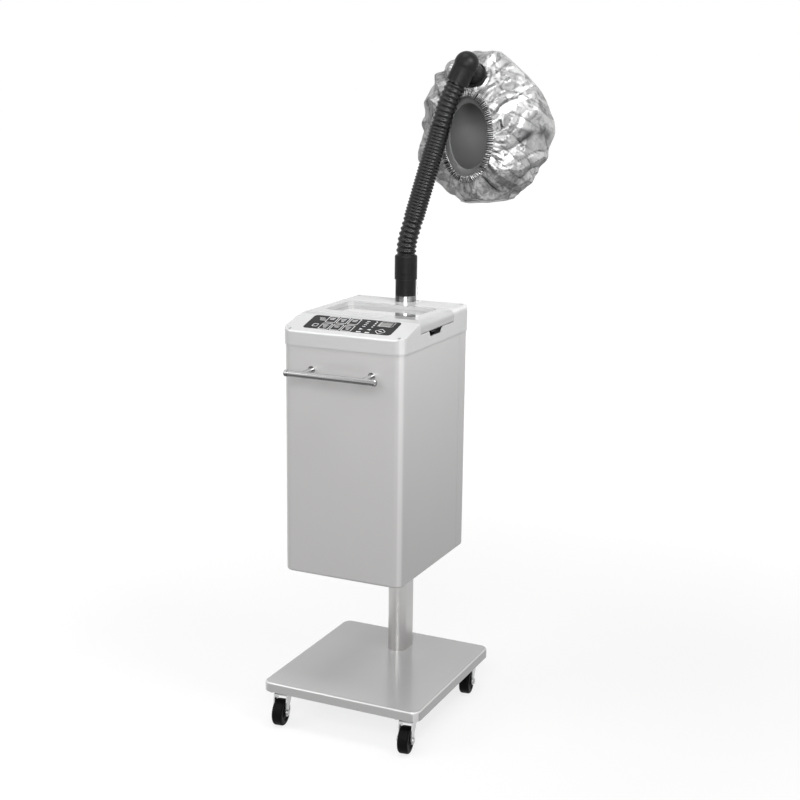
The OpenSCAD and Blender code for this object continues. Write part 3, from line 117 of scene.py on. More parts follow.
def light_or_eye(tree, light, eye):
    """Lamps' light meets one shader. The camera, mirrors and glass see the other."""
    path = tree.nodes.new("ShaderNodeLightPath")
    looks = number(tree, "MAXIMUM", path.outputs["Is Camera Ray"], path.outputs["Is Glossy Ray"])
    looks = number(tree, "MAXIMUM", looks, path.outputs["Is Transmission Ray"])
    mixed = tree.nodes.new("ShaderNodeMixShader")
    for socket, given in zip(mixed.inputs, (looks, light, eye)):
        tree.links.new(given, socket)
    return mixed.outputs[0]


world = bpy.data.worlds.new("studio")
bpy.context.scene.world = world
world.use_nodes = True
tree = world.node_tree
plain = tree.nodes["Background"]
seen = tree.nodes.new("ShaderNodeBackground")
for background, strength in ((plain, 0.25), (seen, 1.0)):
    background.inputs["Color"].default_value = (1, 1, 1, 1)
    background.inputs["Strength"].default_value = strength
tree.links.new(light_or_eye(tree, plain.outputs[0], seen.outputs[0]), tree.nodes["World Output"].inputs["Surface"])

bpy.ops.object.select_all(action="DESELECT")
bpy.ops.mesh.primitive_plane_add(size=40, location=(0, 0, 0))
floor = bpy.context.object
floor.name = "floor"
floor_paint, tree, shader = new_material("floor_paint", (0.25, 0.25, 0.25), 0, 0.9)
shader.inputs["Specular IOR Level"].default_value = 0
# The camera and the reflections see the floor lifted to white, less the object's shadow. Far off,
# where no lamp reaches, it is lifted more.
glow = tree.nodes.new("ShaderNodeEmission")
distance = vector(tree, "LENGTH", tree.nodes.new("ShaderNodeTexCoord").outputs["Object"])
tree.links.new(remap(tree, distance, (0.4, 2.6), (0.77, 0.97), "SMOOTHSTEP"), glow.inputs["Strength"])
lifted = tree.nodes.new("ShaderNodeAddShader")
tree.links.new(shader.outputs[0], lifted.inputs[0])
tree.links.new(glow.outputs[0], lifted.inputs[1])
tree.links.new(light_or_eye(tree, shader.outputs[0], lifted.outputs[0]),
               tree.nodes["Material Output"].inputs["Surface"])
floor.data.materials.append(floor_paint)


def soft_lamp(name, place, target, size, power, spread=180):
    """A square area lamp at a place, aimed at a target, both measured from the base's middle."""
    lamp = bpy.data.objects.new(name, bpy.data.lights.new(name, "AREA"))
    lamp.data.shape, lamp.data.size, lamp.data.energy = "SQUARE", size, power
    lamp.data.spread = math.radians(spread)
    lamp.location = middle + Vector(place)
    lamp.rotation_euler = (Vector(target) - Vector(place)).to_track_quat("-Z", "Y").to_euler()
    bpy.context.scene.collection.objects.link(lamp)


soft_lamp("lamp_front", (0.87, -2.35, 1.75), (0, 0, 1.1), 1.2, 41)
soft_lamp("lamp_left", (-1.6, -1.6, 2.0), (0, 0, 0.9), 1.2, 15)
soft_lamp("lamp_right", (1.0, -0.3, 1.9), (0, 0, 1.25), 0.6, 5.5, 90)
soft_lamp("lamp_top", (-0.3, -0.5, 5.0), (0, 0, 0.5), 2.2, 55)
soft_lamp("lamp_hood", (1.5, -1.9, 1.3), (0.1, 0.2, 1.3), 0.4, 0.4, 30)

# The base: a pressed sheet-steel tray with soft edges, sprayed in silver metallic lacquer like
# the cabinet above it. The two sheet shells of the cabinet have the same finish.


def new_group(name, inputs, outputs):
    """An empty shader group with number inputs and the named outputs."""
    made = bpy.data.node_groups.new(name, "ShaderNodeTree")
    for socket, value in inputs:
        made.interface.new_socket(socket, in_out="INPUT", socket_type="NodeSocketFloat").default_value = value
    for socket in outputs:
        made.interface.new_socket(socket, in_out="OUTPUT", socket_type="NodeSocketFloat")
    return made, made.nodes.new("NodeGroupInput"), made.nodes.new("NodeGroupOutput")


def noise_on(tree, scale, detail=3.0, stretch=None):
    """Noise on the object's own coordinates, drawn out along an axis where stretch says so."""
    place = tree.nodes.new("ShaderNodeTexCoord").outputs["Object"]
    if stretch:
        mapping = tree.nodes.new("ShaderNodeMapping")
        mapping.inputs["Scale"].default_value = stretch
        tree.links.new(place, mapping.inputs["Vector"])
        place = mapping.outputs[0]
    made = tree.nodes.new("ShaderNodeTexNoise")
    tree.links.new(place, made.inputs["Vector"])
    made.inputs["Detail"].default_value = detail
    feed(tree, made.inputs["Scale"], scale)
    return made.outputs[0]


# Shared by most finishes: grain, soft clouds of handling, and uneven gloss
surface, given, out = new_group("surface", (("Grain", 400), ("Speckle", 0.1), ("Cloud", 0.08), ("Roughness", 0.4)),
                                ("Shade", "Roughness", "Height"))
grain = noise_on(surface, given.outputs["Grain"], 2)
cloud = noise_on(surface, 6.5, 4)
rub = noise_on(surface, 38, 5)
speckled = number(surface, "MULTIPLY", number(surface, "SUBTRACT", grain, 0.5), given.outputs["Speckle"])
clouded = number(surface, "MULTIPLY", number(surface, "SUBTRACT", cloud, 0.5), given.outputs["Cloud"])
rubbed = number(surface, "MULTIPLY", number(surface, "SUBTRACT", rub, 0.5), given.outputs["Cloud"])
surface.links.new(number(surface, "ADD", number(surface, "ADD", speckled, clouded), 1.0), out.inputs["Shade"])
surface.links.new(number(surface, "ADD", number(surface, "MULTIPLY", rubbed, 1.6), given.outputs["Roughness"]),
                  out.inputs["Roughness"])
surface.links.new(grain, out.inputs["Height"])

# Where an edge is rubbed: the surface's normal against the same one rounded off
edge, given, out = new_group("edge", (("Width", 0.002), ("Amount", 1.0)), ("Mask",))
rounded = edge.nodes.new("ShaderNodeBevel")
rounded.samples = 4
edge.links.new(given.outputs["Width"], rounded.inputs["Radius"])
turning = vector(edge, "DOT_PRODUCT", rounded.outputs[0],
                 edge.nodes.new("ShaderNodeNewGeometry").outputs["Normal"])
sharp = number(edge, "MULTIPLY", number(edge, "SUBTRACT", 1.0, turning), 6.0)
patchy = number(edge, "MULTIPLY", sharp, number(edge, "MULTIPLY", noise_on(edge, 160, 4), 1.6))
limited = edge.nodes.new("ShaderNodeClamp")
edge.links.new(number(edge, "MULTIPLY", patchy, given.outputs["Amount"]), limited.inputs[0])
edge.links.new(limited.outputs[0], out.inputs["Mask"])

# Where a square piece is rounded off, the mask of a painted edge highlight: the normal lies between two of its axes
rounding, given, out = new_group("rounding", (("From", 0.1), ("To", 0.2)), ("Mask",))
parts = rounding.nodes.new("ShaderNodeSeparateXYZ")
rounding.links.new(rounding.nodes.new("ShaderNodeNewGeometry").outputs["Normal"], parts.inputs[0])
x2, y2, z2 = (number(rounding, "MULTIPLY", parts.outputs[axis], parts.outputs[axis]) for axis in "XYZ")
between = number(rounding, "ADD", number(rounding, "MULTIPLY", x2, y2),
                 number(rounding, "MULTIPLY", z2, number(rounding, "ADD", x2, y2)))
rounding.links.new(remap(rounding, between, (given.outputs["From"], given.outputs["To"]), (0.0, 1.0), "SMOOTHSTEP"),
                   out.inputs["Mask"])


def bump_on(tree, shader, height, strength, distance):
    """Raises a shader's surface by a height. Gives back the normal that this makes."""
    raised = tree.nodes.new("ShaderNodeBump")
    raised.inputs["Strength"].default_value = strength
    raised.inputs["Distance"].default_value = distance
    tree.links.new(height, raised.inputs["Height"])
    tree.links.new(raised.outputs[0], shader.inputs["Normal"])
    return raised.outputs[0]


def paint_edge_highlight(tree, shader, brighter, start=0.1, end=0.2):
    """Paints a highlight on the rounded edges of a square piece: lightens its colour there, where lacquer would
    catch the light.
    """
    before = shader.inputs["Base Color"].links[0].from_socket
    mask = tree.nodes.new("ShaderNodeGroup")
    mask.node_tree = rounding
    mask.inputs["From"].default_value, mask.inputs["To"].default_value = start, end
    share = number(tree, "ADD", 1.0, number(tree, "MULTIPLY", mask.outputs["Mask"], brighter))
    tree.links.new(vector(tree, "SCALE", before, share), shader.inputs["Base Color"])


def finish(name, colour, metallic, roughness, grain=400, speckle=0.1, cloud=0.08, bump=0.02,
           worn=None, worn_width=0.0015, coat=(0.0, 0.03), specular=0.5):
    """A finish from the surface group: speckle, clouds and fine bump, with worn edges in a colour
    and a clear coat, given as its weight and roughness, where the call says so."""
    made, tree, shader = new_material(name, colour, metallic, roughness)
    shader.inputs["Coat Weight"].default_value, shader.inputs["Coat Roughness"].default_value = coat
    shader.inputs["Specular IOR Level"].default_value = specular
    node = tree.nodes.new("ShaderNodeGroup")
    node.node_tree = surface
    for socket, value in (("Grain", grain), ("Speckle", speckle), ("Cloud", cloud), ("Roughness", roughness)):
        node.inputs[socket].default_value = value
    paint = vector(tree, "SCALE", colour, node.outputs["Shade"])
    if worn:
        rubbed = tree.nodes.new("ShaderNodeGroup")
        rubbed.node_tree = edge
        rubbed.inputs["Width"].default_value = worn_width
        mixed = tree.nodes.new("ShaderNodeMix")
        mixed.data_type = "RGBA"
        tree.links.new(rubbed.outputs["Mask"], mixed.inputs["Factor"])
        tree.links.new(paint, mixed.inputs["A"])
        mixed.inputs["B"].default_value = (*worn, 1)
        paint = mixed.outputs["Result"]
    tree.links.new(paint, shader.inputs["Base Color"])
    tree.links.new(node.outputs["Roughness"], shader.inputs["Roughness"])
    if bump:
        bump_on(tree, shader, node.outputs["Height"], bump, 0.001)
    return made, tree, shader


def dress(material, *names):
    """Gives CAD nodes a material in place of their plain ones."""
    for name in names:
        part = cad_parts[name]
        if not part.material_slots:
            part.data.materials.append(material)
        for held in part.material_slots:
            held.material = material


silver_lacquer, tree, shader = finish("silver_lacquer", (0.5, 0.493, 0.492), 0.12, 0.3, grain=1100, speckle=0.05,
                                      cloud=0.03, bump=0.006, coat=(0.15, 0.12))
# Painted highlight on the cabinet's rounded edges
paint_edge_highlight(tree, shader, 0.24, 0.13, 0.24)
dress(silver_lacquer, "cabinet_shell", "rear_panel")
base_lacquer, tree, shader = finish("base_lacquer", (0.46, 0.455, 0.455), 0.2, 0.22, grain=1100, speckle=0.05,
                                    cloud=0.03, bump=0, coat=(0.3, 0.09))
# Painted highlight on the base's rounded edges
paint_edge_highlight(tree, shader, 0.6)
dress(base_lacquer, "base_tray")

# Sheet steel under and inside: the plate that closes the base, the stiffener, the pan and the
# frame of the cabinet. Bare zinc-plated sheet with the pale bloom of the bath.
zinc_sheet = finish("zinc_sheet", (0.42, 0.43, 0.44), 0.9, 0.38, grain=220, speckle=0.12, cloud=0.3, bump=0.01,
                    worn=(0.6, 0.6, 0.6))[0]
dress(zinc_sheet, "base_plate", "base_stiffener", "bottom_pan", "chassis", "pole_flange", "caster_plates",
      "pole_plugs")

# Bolts, screws and hinge pins: turned steel, plated, with a little dark in the corners of their
# heads. The axles of the casters are of the same steel.
screw_steel = finish("screw_steel", (0.5, 0.5, 0.5), 1.0, 0.3, grain=700, speckle=0.25, cloud=0.2, bump=0.04,
                     worn=(0.72, 0.72, 0.72), worn_width=0.0006)[0]
dress(screw_steel, "caster_bolts", "pole_bolts", "rear_screws", "lid_pins")
# The four that show in the cover are blackened
dark_screws = finish("dark_screws", (0.1, 0.1, 0.1), 0.8, 0.35, grain=700, speckle=0.25, cloud=0.2, bump=0.04)[0]
dress(dark_screws, "cover_screws")

# The casters: forks pressed from zinc-plated strip, and black moulded wheels on steel axles.
fork_steel = finish("fork_steel", (0.56, 0.56, 0.57), 0.95, 0.26, grain=320, speckle=0.14, cloud=0.22, bump=0.02,
                    worn=(0.8, 0.8, 0.8), worn_width=0.001)[0]
wheel_rubber = finish("wheel_rubber", (0.004, 0.004, 0.0043), 0.0, 0.5, grain=260, speckle=0.4, cloud=0.4, bump=0.06,
                      worn=(0.02, 0.02, 0.02), worn_width=0.0012, specular=0.06)[0]
for corner in ("fl", "fr", "rl", "rr"):
    dress(fork_steel, "caster_fork_" + corner)
    dress(wheel_rubber, "caster_wheel_" + corner)
    dress(screw_steel, "caster_axle_" + corner)

# The pole, a flat-oval tube in satin aluminium. It was drawn lengthwise, so its fine lines run
# upright.
pole_metal, tree, shader = finish("pole_metal", (0.53, 0.525, 0.52), 0.9, 0.38, grain=500, speckle=0.05, bump=0)
bump_on(tree, shader, noise_on(tree, 14, 2, (90, 90, 0.6)), 0.06, 0.0006)
dress(pole_metal, "pole_tube")

# The top: the moulded cover with its slope for the keypad, the lid and the tray in it. Silver
# plastic, brighter than the lacquered sheet; the tray's floor is a polished insert.
silver_plastic, tree, shader = finish("silver_plastic", (0.51, 0.51, 0.512), 0.15, 0.33, grain=1300, speckle=0.04,
                                      cloud=0.03, bump=0.004, coat=(0.3, 0.15))
# Painted highlight on the cover's rounded edges
paint_edge_highlight(tree, shader, 0.2, 0.14, 0.22)
dress(silver_plastic, "top_cover")
dress(finish("tray_gloss", (0.46, 0.46, 0.46), 0.5, 0.1, grain=900, speckle=0.06, cloud=0.05, bump=0,
             coat=(0.8, 0.04))[0], "tray_insert")
# The lid is polished on its flat top, where it mirrors the cuff, and matt on its flanks
lid_gloss, tree, shader = finish("lid_gloss", (0.44, 0.44, 0.442), 0.1, 0.12, grain=900, speckle=0.04, cloud=0.04,
                                 bump=0, coat=(0.25, 0.05), specular=0.2)
own_way = tree.nodes.new("ShaderNodeVectorTransform")
own_way.vector_type, own_way.convert_from, own_way.convert_to = "NORMAL", "WORLD", "OBJECT"
tree.links.new(tree.nodes.new("ShaderNodeNewGeometry").outputs["Normal"], own_way.inputs[0])
upright = tree.nodes.new("ShaderNodeSeparateXYZ")
tree.links.new(own_way.outputs[0], upright.inputs[0])
flat_top = (0.93, 0.995)
tree.links.new(remap(tree, upright.outputs["Z"], flat_top, (0.46, 0.12)), shader.inputs["Roughness"])
tree.links.new(remap(tree, upright.outputs["Z"], flat_top, (0.05, 0.25)), shader.inputs["Coat Weight"])
dress(lid_gloss, "lid")

# The keypad: a printed film on the slope. Its keys are embossed frames with plain signs, beside
# a column of lamps, the display, two arrow keys and the start key.
dress(finish("film", (0.013, 0.013, 0.0135), 0.0, 0.45, grain=1500, speckle=0.3, cloud=0.2, bump=0.01,
             specular=0.12)[0], "keypad")
dress(finish("display_glass", (0.2, 0.2, 0.197), 0.0, 0.18, grain=300, speckle=0.05, cloud=0.1, bump=0,
             specular=0.2)[0], "display_window")
low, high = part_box("keypad")
slope = math.radians(15.5)
film_frame = Matrix.Translation((low + high) / 2) @ Matrix.Rotation(slope, 4, "X")
film_top, ink_height, key_round = 0.0006, 0.00025, 0.0022


def take(*pieces):
    """Selects these pieces and nothing else, with the first one active."""
    bpy.ops.object.select_all(action="DESELECT")
    for piece in pieces:
        piece.select_set(True)
    bpy.context.view_layer.objects.active = pieces[0]


def edit(piece, everything=False):
    """Takes a piece into edit mode, alone, with all of it or nothing of it selected."""
    take(piece)
    bpy.ops.object.mode_set(mode="EDIT")
    bpy.ops.mesh.select_mode(type="VERT")
    bpy.ops.mesh.select_all(action="SELECT" if everything else "DESELECT")


def pick(piece, kind, test):
    """Selects the faces, edges or vertices whose middle and normal pass the test, in edit mode."""
    bpy.ops.mesh.select_mode(type=kind)
    mesh = bmesh.from_edit_mesh(piece.data)
    for element in {"VERT": mesh.verts, "EDGE": mesh.edges, "FACE": mesh.faces}[kind]:
        if kind == "VERT":
            element.select_set(test(element.co, element.normal))
        elif kind == "EDGE":
            element.select_set(test((element.verts[0].co + element.verts[1].co) / 2, None))
        else:
            element.select_set(test(element.calc_center_median(), element.normal))
    mesh.select_flush_mode()
    bmesh.update_edit_mesh(piece.data)


def settle(piece, place=None):
    """Leaves edit mode and puts the piece's place, or the one given, into its mesh."""
    if bpy.context.mode != "OBJECT":
        bpy.ops.object.mode_set(mode="OBJECT")
    take(piece)
    if place is not None:
        piece.matrix_world = place @ piece.matrix_world
    bpy.ops.object.transform_apply(location=True, rotation=True, scale=True)
    return piece


def apply_modifier(piece, kind, **settings):
    """Adds a modifier with its settings and applies it."""
    take(piece)
    made = piece.modifiers.new(kind.lower(), kind)
    for setting, value in settings.items():
        setattr(made, setting, value)
    bpy.ops.object.modifier_apply(modifier=made.name)


def join(pieces, name):
    """Makes one piece of several and names it."""
    take(*pieces)
    bpy.ops.object.join()
    bpy.context.object.name = name
    return bpy.context.object


def printed_frame(name, across, along, width, height, line):
    """An outlined key: a thin plate whose inner face is inset and taken out, with round corners.
    Its place, size and line are in millimetres on the film."""
    bpy.ops.object.select_all(action="DESELECT")
    bpy.ops.mesh.primitive_plane_add(size=1, location=(across / 1000, along / 1000, film_top))
    piece = bpy.context.object
    piece.name = name
    piece.scale = (width / 1000, height / 1000, 1)
    bpy.ops.object.transform_apply(location=False, rotation=False, scale=True)
    edit(piece, True)
    bpy.ops.mesh.bevel(offset=key_round, segments=4, affect="VERTICES")
    bpy.ops.mesh.select_all(action="SELECT")
    bpy.ops.mesh.inset(thickness=line / 1000, depth=0)
    bpy.ops.mesh.delete(type="FACE")
    bpy.ops.mesh.select_all(action="SELECT")
    bpy.ops.mesh.extrude_region_move(TRANSFORM_OT_translate={"value": (0, 0, ink_height)})
    bpy.ops.mesh.select_all(action="SELECT")
    bpy.ops.mesh.normals_make_consistent(inside=False)
    return settle(piece)


def printed_plate(name, across, along, width, height, sides=4, turned=45):
    """A small solid mark with that many sides, as wide and high as given, in millimetres."""
    bpy.ops.object.select_all(action="DESELECT")
    bpy.ops.mesh.primitive_cylinder_add(vertices=sides, radius=0.5, depth=ink_height,
                                        location=(across / 1000, along / 1000, film_top + 0.0001),
                                        rotation=(0, 0, math.radians(turned)))
    piece = bpy.context.object
    piece.name = name
    bpy.ops.object.transform_apply(location=False, rotation=True, scale=False)
    span = [max(v.co[k] for v in piece.data.vertices) - min(v.co[k] for v in piece.data.vertices) for k in (0, 1)]
    piece.scale = (width / 1000 / span[0], height / 1000 / span[1], 1)
    bpy.ops.object.transform_apply(location=False, rotation=False, scale=True)
    edit(piece)
    pick(piece, "FACE", lambda at, normal: normal.z > 0.9)
    bpy.ops.mesh.inset(thickness=min(width, height) / 12000, depth=0)
    bpy.ops.transform.translate(value=(0, 0, 0.00004))
    return settle(piece)


# Two rows of keys, each with a plain sign: bars of different lengths
marks = []
for row, along in enumerate((16.2, -16.6)):
    for column, across in enumerate((-54.5, -28.0, -1.5)):
        marks.append(printed_frame(f"key_{row}_{column}", across, along, 23.2, 28.4, 1.35))
        for bar in range(2 + (row + column) % 2):
            marks.append(printed_plate(f"sign_{row}_{column}_{bar}", across - 1.5 + bar, along + 6 - 5.5 * bar,
                                       13 - 3 * bar, 1.7))
# To their left stand two signs without a frame: three short bars, and a ring
for bar in range(3):
    marks.append(printed_plate(f"side_bar_{bar}", -79 + 2.5 * bar, 20 - 5 * bar, 13, 1.6))
marks.append(printed_frame("side_ring", -79, -15, 12, 13, 1.2))
# To their right come the scale of the lamps, two arrow keys, the display and the start key
scale_rows, start_at = (23.5, 15.4, 7.2, -1.0), (73.5, -17.5)
for step, along in enumerate(scale_rows):
    marks.append(printed_plate(f"scale_{step}", 28, along, 7, 2.0))
for step, (across, turned) in enumerate(((26.8, 30), (46.8, -30))):
    marks.append(printed_plate(f"arrow_{step}", across, -14.0, 8, 7, 3, turned))
    marks.append(printed_plate(f"arrow_plate_{step}", across + 1, -27.5, 10, 3.4))
marks.append(printed_frame("display_frame", 73.7, 18.2, 31.5, 22.5, 0.5))
marks.append(printed_plate("start_sign", *start_at, 8, 3.2, 24, 0))
marks.append(printed_frame("start_key", 0, 0, 17, 17, 1.2))
on_its_corner = Matrix.Diagonal((0.95, 1.12, 1, 1)) @ Matrix.Rotation(math.radians(45), 4, "Z")
settle(marks[-1], Matrix.Translation((start_at[0] / 1000, start_at[1] / 1000, 0)) @ on_its_corner)
printing = settle(join(marks, "keypad_printing"), film_frame)
pale_ink = finish("pale_ink", (0.68, 0.68, 0.68), 0.0, 0.5, grain=2200, speckle=0.1, cloud=0.1, bump=0.01)[0]
printing.data.materials.append(pale_ink)
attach(printing, "cabinet")

# The lens of a lamp beside each mark of the scale: a ball, of which a low cap shows
lamps = []
lens_across, lens_r, lens_sunk = 0.0476, 0.0021, 0.0004
for along in scale_rows:
    bpy.ops.object.select_all(action="DESELECT")
    bpy.ops.mesh.primitive_uv_sphere_add(segments=20, ring_count=12, radius=lens_r,
                                         location=(lens_across, along / 1000, film_top - lens_sunk))
    lens = bpy.context.object
    edit(lens, True)
    bpy.ops.mesh.bisect(plane_co=(lens_across, along / 1000, film_top), plane_no=(0, 0, 1), use_fill=True,
                        clear_inner=True)
    lamps.append(settle(lens))
lamp_lenses = settle(join(lamps, "lamp_lenses"), film_frame)
bpy.ops.object.shade_smooth_by_angle(angle=math.radians(40))
lamp_lenses.data.materials.append(finish("lens_plastic", (0.5, 0.5, 0.49), 0.0, 0.25, grain=900, speckle=0.1,
                                         cloud=0.05, bump=0)[0])
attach(lamp_lenses, "cabinet")

# The grab bar on its two posts, which are screwed to the cabinet's front, and the ring and spigot
# of the steam outlet. All are turned from metal, polished and chromed.
chrome, tree, shader = finish("chrome", (0.5, 0.5, 0.505), 1.0, 0.1, grain=900, speckle=0.03, cloud=0.1, bump=0.004)
# Painted reflection: chrome mirrors a bright ceiling and dark corners, so its colour is painted to follow the way it
# faces
ceiling = vector(tree, "DOT_PRODUCT", tree.nodes.new("ShaderNodeNewGeometry").outputs["Normal"], (0.45, 0.0, 0.89))
chrome_reflection = tree.nodes.new("ShaderNodeValToRGB")
tree.links.new(number(tree, "MULTIPLY", number(tree, "ADD", ceiling, 1.0), 0.5), chrome_reflection.inputs[0])
for end, value in zip(chrome_reflection.color_ramp.elements, (0.25, 0.55)):
    end.color = (value, value, value, 1)
for position, value in ((0.3, 0.1), (0.44, 0.08), (0.52, 0.34), (0.64, 0.42), (0.72, 0.2), (0.82, 0.5)):
    chrome_reflection.color_ramp.elements.new(position).color = (value, value, value, 1)
tree.links.new(chrome_reflection.outputs[0], shader.inputs["Base Color"])
dress(chrome, "handle_bar", "handle_posts", "outlet_pipe")

# What works inside: the tank, the boiler with its heater, pipes, valves and boards. Each has
# the plain finish of such a part.
dress(finish("copper_tin", (0.62, 0.55, 0.47), 0.9, 0.34, grain=200, speckle=0.15, cloud=0.4, bump=0.03)[0],
      "boiler", "steam_riser", "heating_element")
dress(finish("brass", (0.62, 0.45, 0.2), 1.0, 0.32, grain=300, speckle=0.15, cloud=0.35, bump=0.02,
             worn=(0.8, 0.66, 0.4))[0], "drain_valve")
tank_plastic, tree, shader = finish("tank_plastic", (0.78, 0.8, 0.82), 0.0, 0.4, grain=500, speckle=0.06, cloud=0.1,
                                    bump=0.03)
shader.inputs["Subsurface Weight"].default_value = 0.15
dress(tank_plastic, "water_tank", "filler_strainer", "feed_pipe")
dress(finish("valve_plastic", (0.35, 0.4, 0.46), 0.0, 0.45, grain=400, speckle=0.1, cloud=0.2, bump=0.04)[0],
      "feed_valve")
dress(finish("board", (0.04, 0.16, 0.08), 0.0, 0.4, grain=260, speckle=0.6, cloud=0.4, bump=0.08)[0],
      "control_board", "power_board")
dress(finish("red_plastic", (0.5, 0.03, 0.025), 0.0, 0.35, grain=500, speckle=0.15, cloud=0.15, bump=0.04)[0],
      "switch_rocker", "drain_lever")

# Black mouldings of the steam path: the socket and switch behind, the cuff on the outlet, the
# elbow with its branch, and the collar and nut that hold the hood.
black_moulding = finish("black_moulding", (0.008, 0.008, 0.0085), 0.0, 0.4, grain=420, speckle=0.4, cloud=0.4,
                        bump=0.04, worn=(0.04, 0.04, 0.04), specular=0.12)[0]
dress(black_moulding, "power_inlet", "power_switch", "hose_cuff", "elbow", "hood_collar", "hood_nut")
# A black pad stands in for the shade in the gutter behind the finger notch, on its floor and its inner wall: painted
# shade
pad_at, pad_w, pad_d, pad_wall = middle + Vector((0.1255, -0.031, 0.8853)), 0.0262, 0.076, 0.0122
bpy.ops.object.select_all(action="DESELECT")
bpy.ops.mesh.primitive_plane_add(size=1, location=pad_at)
pad = bpy.context.object
pad.name = "notch_shade_pad"
pad.scale = (pad_w, pad_d, 1)
settle(pad)
edit(pad)
pick(pad, "EDGE", lambda at, normal: at.x < pad_at.x - pad_w / 4)
bpy.ops.mesh.extrude_region_move(TRANSFORM_OT_translate={"value": (0, 0, pad_wall)})
settle(pad)
apply_modifier(pad, "SOLIDIFY", thickness=0.0006, offset=0, use_rim=True)
apply_modifier(pad, "BEVEL", width=0.0002, segments=2)
settle(pad)
pad.data.materials.append(black_moulding)
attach(pad, "cabinet")
dress(finish("spring_steel", (0.26, 0.26, 0.26), 1.0, 0.2, grain=500, speckle=0.1, cloud=0.2, bump=0.02)[0],
      "cuff_spring")

# The hose: a black ribbed tube, stiff enough to hold the hood. One rib is modelled for each of
# its three stretches, set out in a row, and the row is then laid along the hose's bend.
hose_length, hose_steps, hose_sides, plain_r = 0.463, 154, 44, 0.0199
hose_foot = Vector((0, 0, 0.9883))
lean_way, lean_low, lean_top = math.radians(25), math.radians(15.5), math.radians(26)
# Where each of its two bends begins, and over what length it turns
low_bend, top_bend = (0.044, 0.045), (0.364, 0.055)


def turned_by(t, bend):
    """How much of a bend lies behind a place on the hose's line, from 0 to 1."""
    return max(0.0, min(1.0, (t - bend[0]) / bend[1]))


hose_line_points = []
for step in range(hose_steps + 1):
    t = step * hose_length / hose_steps
    hose_line_points.append((t, turned_by(t, low_bend) * lean_low + turned_by(t, top_bend) * (lean_top - lean_low)))
place = hose_foot
outlet = middle + Vector((0, 0.120, 0))
spots = []
for before, after in zip([hose_line_points[0]] + hose_line_points, hose_line_points):
    step, angle = after[0] - before[0], (after[1] + before[1]) / 2
    place = place + Vector((math.sin(angle), 0, math.cos(angle))) * step
    spots.append(outlet + Vector((place.x * math.cos(lean_way), place.x * math.sin(lean_way), place.z)))
bpy.ops.object.select_all(action="DESELECT")
curve = bpy.data.curves.new("hose_line", "CURVE")
curve.dimensions = "3D"
spline = curve.splines.new("POLY")
spline.points.add(len(spots) - 1)
for point, spot in zip(spline.points, spots):
    point.co = (*spot, 1)
hose_line = bpy.data.objects.new("hose_line", curve)
bpy.context.scene.collection.objects.link(hose_line)


def rib_row(name, start, count, pitch, crest, valley, round_over):
    """A row of ribs along +Z: one ring is drawn up through valley, flank and rounded crest."""
    bpy.ops.object.select_all(action="DESELECT")
    bpy.ops.mesh.primitive_circle_add(vertices=hose_sides, radius=valley, fill_type="NOTHING",
                                      location=(0, 0, start))
    piece = bpy.context.object
    piece.name = name
    edit(piece, True)
    radius, height = valley, 0.0
    for share, reach in round_over:
        wanted = valley + (crest - valley) * reach
        bpy.ops.mesh.extrude_region_move(TRANSFORM_OT_translate={"value": (0, 0, (share - height) * pitch)})
        bpy.ops.transform.resize(value=(wanted / radius, wanted / radius, 1),
                                 center_override=(0, 0, start + share * pitch))
        radius, height = wanted, share
    settle(piece)
    apply_modifier(piece, "ARRAY", count=count, use_relative_offset=False, use_constant_offset=True,
                   constant_offset_displace=(0, 0, pitch), use_merge_vertices=True, merge_threshold=0.0001)
    return piece


# How far up its pitch each ring of a rib lies, and how far out towards the crest
soft_rib = ((0.1, 0.02), (0.2, 0.3), (0.3, 0.75), (0.4, 0.97), (0.5, 1.0), (0.6, 0.97), (0.7, 0.75), (0.8, 0.3),
            (0.9, 0.02), (1.0, 0.0))
ribs_start, ribs_end = 0.047, 0.432
hose_rows = [
    rib_row("hose_low", ribs_start, 7, 0.0114, 0.0224, 0.0197, soft_rib),
    rib_row("hose_mid", 0.1268, 29, 0.0071, 0.0231, 0.0214, soft_rib),
    rib_row("hose_top", 0.3327, 9, 0.011033, 0.0225, plain_r, soft_rib),
]
# Its two plain ends sit in the cuffs
for start, end in ((0.0, ribs_start), (ribs_end, hose_length)):
    bpy.ops.object.select_all(action="DESELECT")
    bpy.ops.mesh.primitive_circle_add(vertices=hose_sides, radius=plain_r, fill_type="NGON",
                                      location=(0, 0, start))
    plug = bpy.context.object
    edit(plug, True)
    for _ in range(6):
        bpy.ops.mesh.extrude_region_move(TRANSFORM_OT_translate={"value": (0, 0, (end - start) / 6)})
    hose_rows.append(settle(plug))
hose_skin = join(hose_rows, "hose_skin")
apply_modifier(hose_skin, "CURVE", object=hose_line, deform_axis="POS_Z")
bpy.data.objects.remove(hose_line)
edit(hose_skin, True)
bpy.ops.mesh.remove_doubles(threshold=0.00005)
bpy.ops.mesh.normals_make_consistent(inside=False)
settle(hose_skin)
bpy.ops.object.shade_smooth_by_angle(angle=math.radians(60))
hose_skin.data.materials.append(finish("hose_rubber", (0.005, 0.005, 0.0053), 0.0, 0.3, grain=600, speckle=0.4,
                                       cloud=0.4, bump=0.03, specular=0.26)[0])
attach(hose_skin, "arm")
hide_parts("hose")

# The hood's inner dome: a smooth dark grey plastic shell with a rolled rim, clamped to the collar
# under the elbow. A soft rubber lip on its rim closes the gap to the elastic of the cover.
ball = middle + Vector((0.113959, 0.17314, 1.44794))
branch = Vector((0, math.cos(math.radians(32)), -math.sin(math.radians(32))))
hood = middle + Vector((0.105959, 0.30049, 1.30269))
hood_w, hood_d, hood_h = 0.316, 0.241, 0.347
mouth_w, mouth_h = 0.104, 0.176
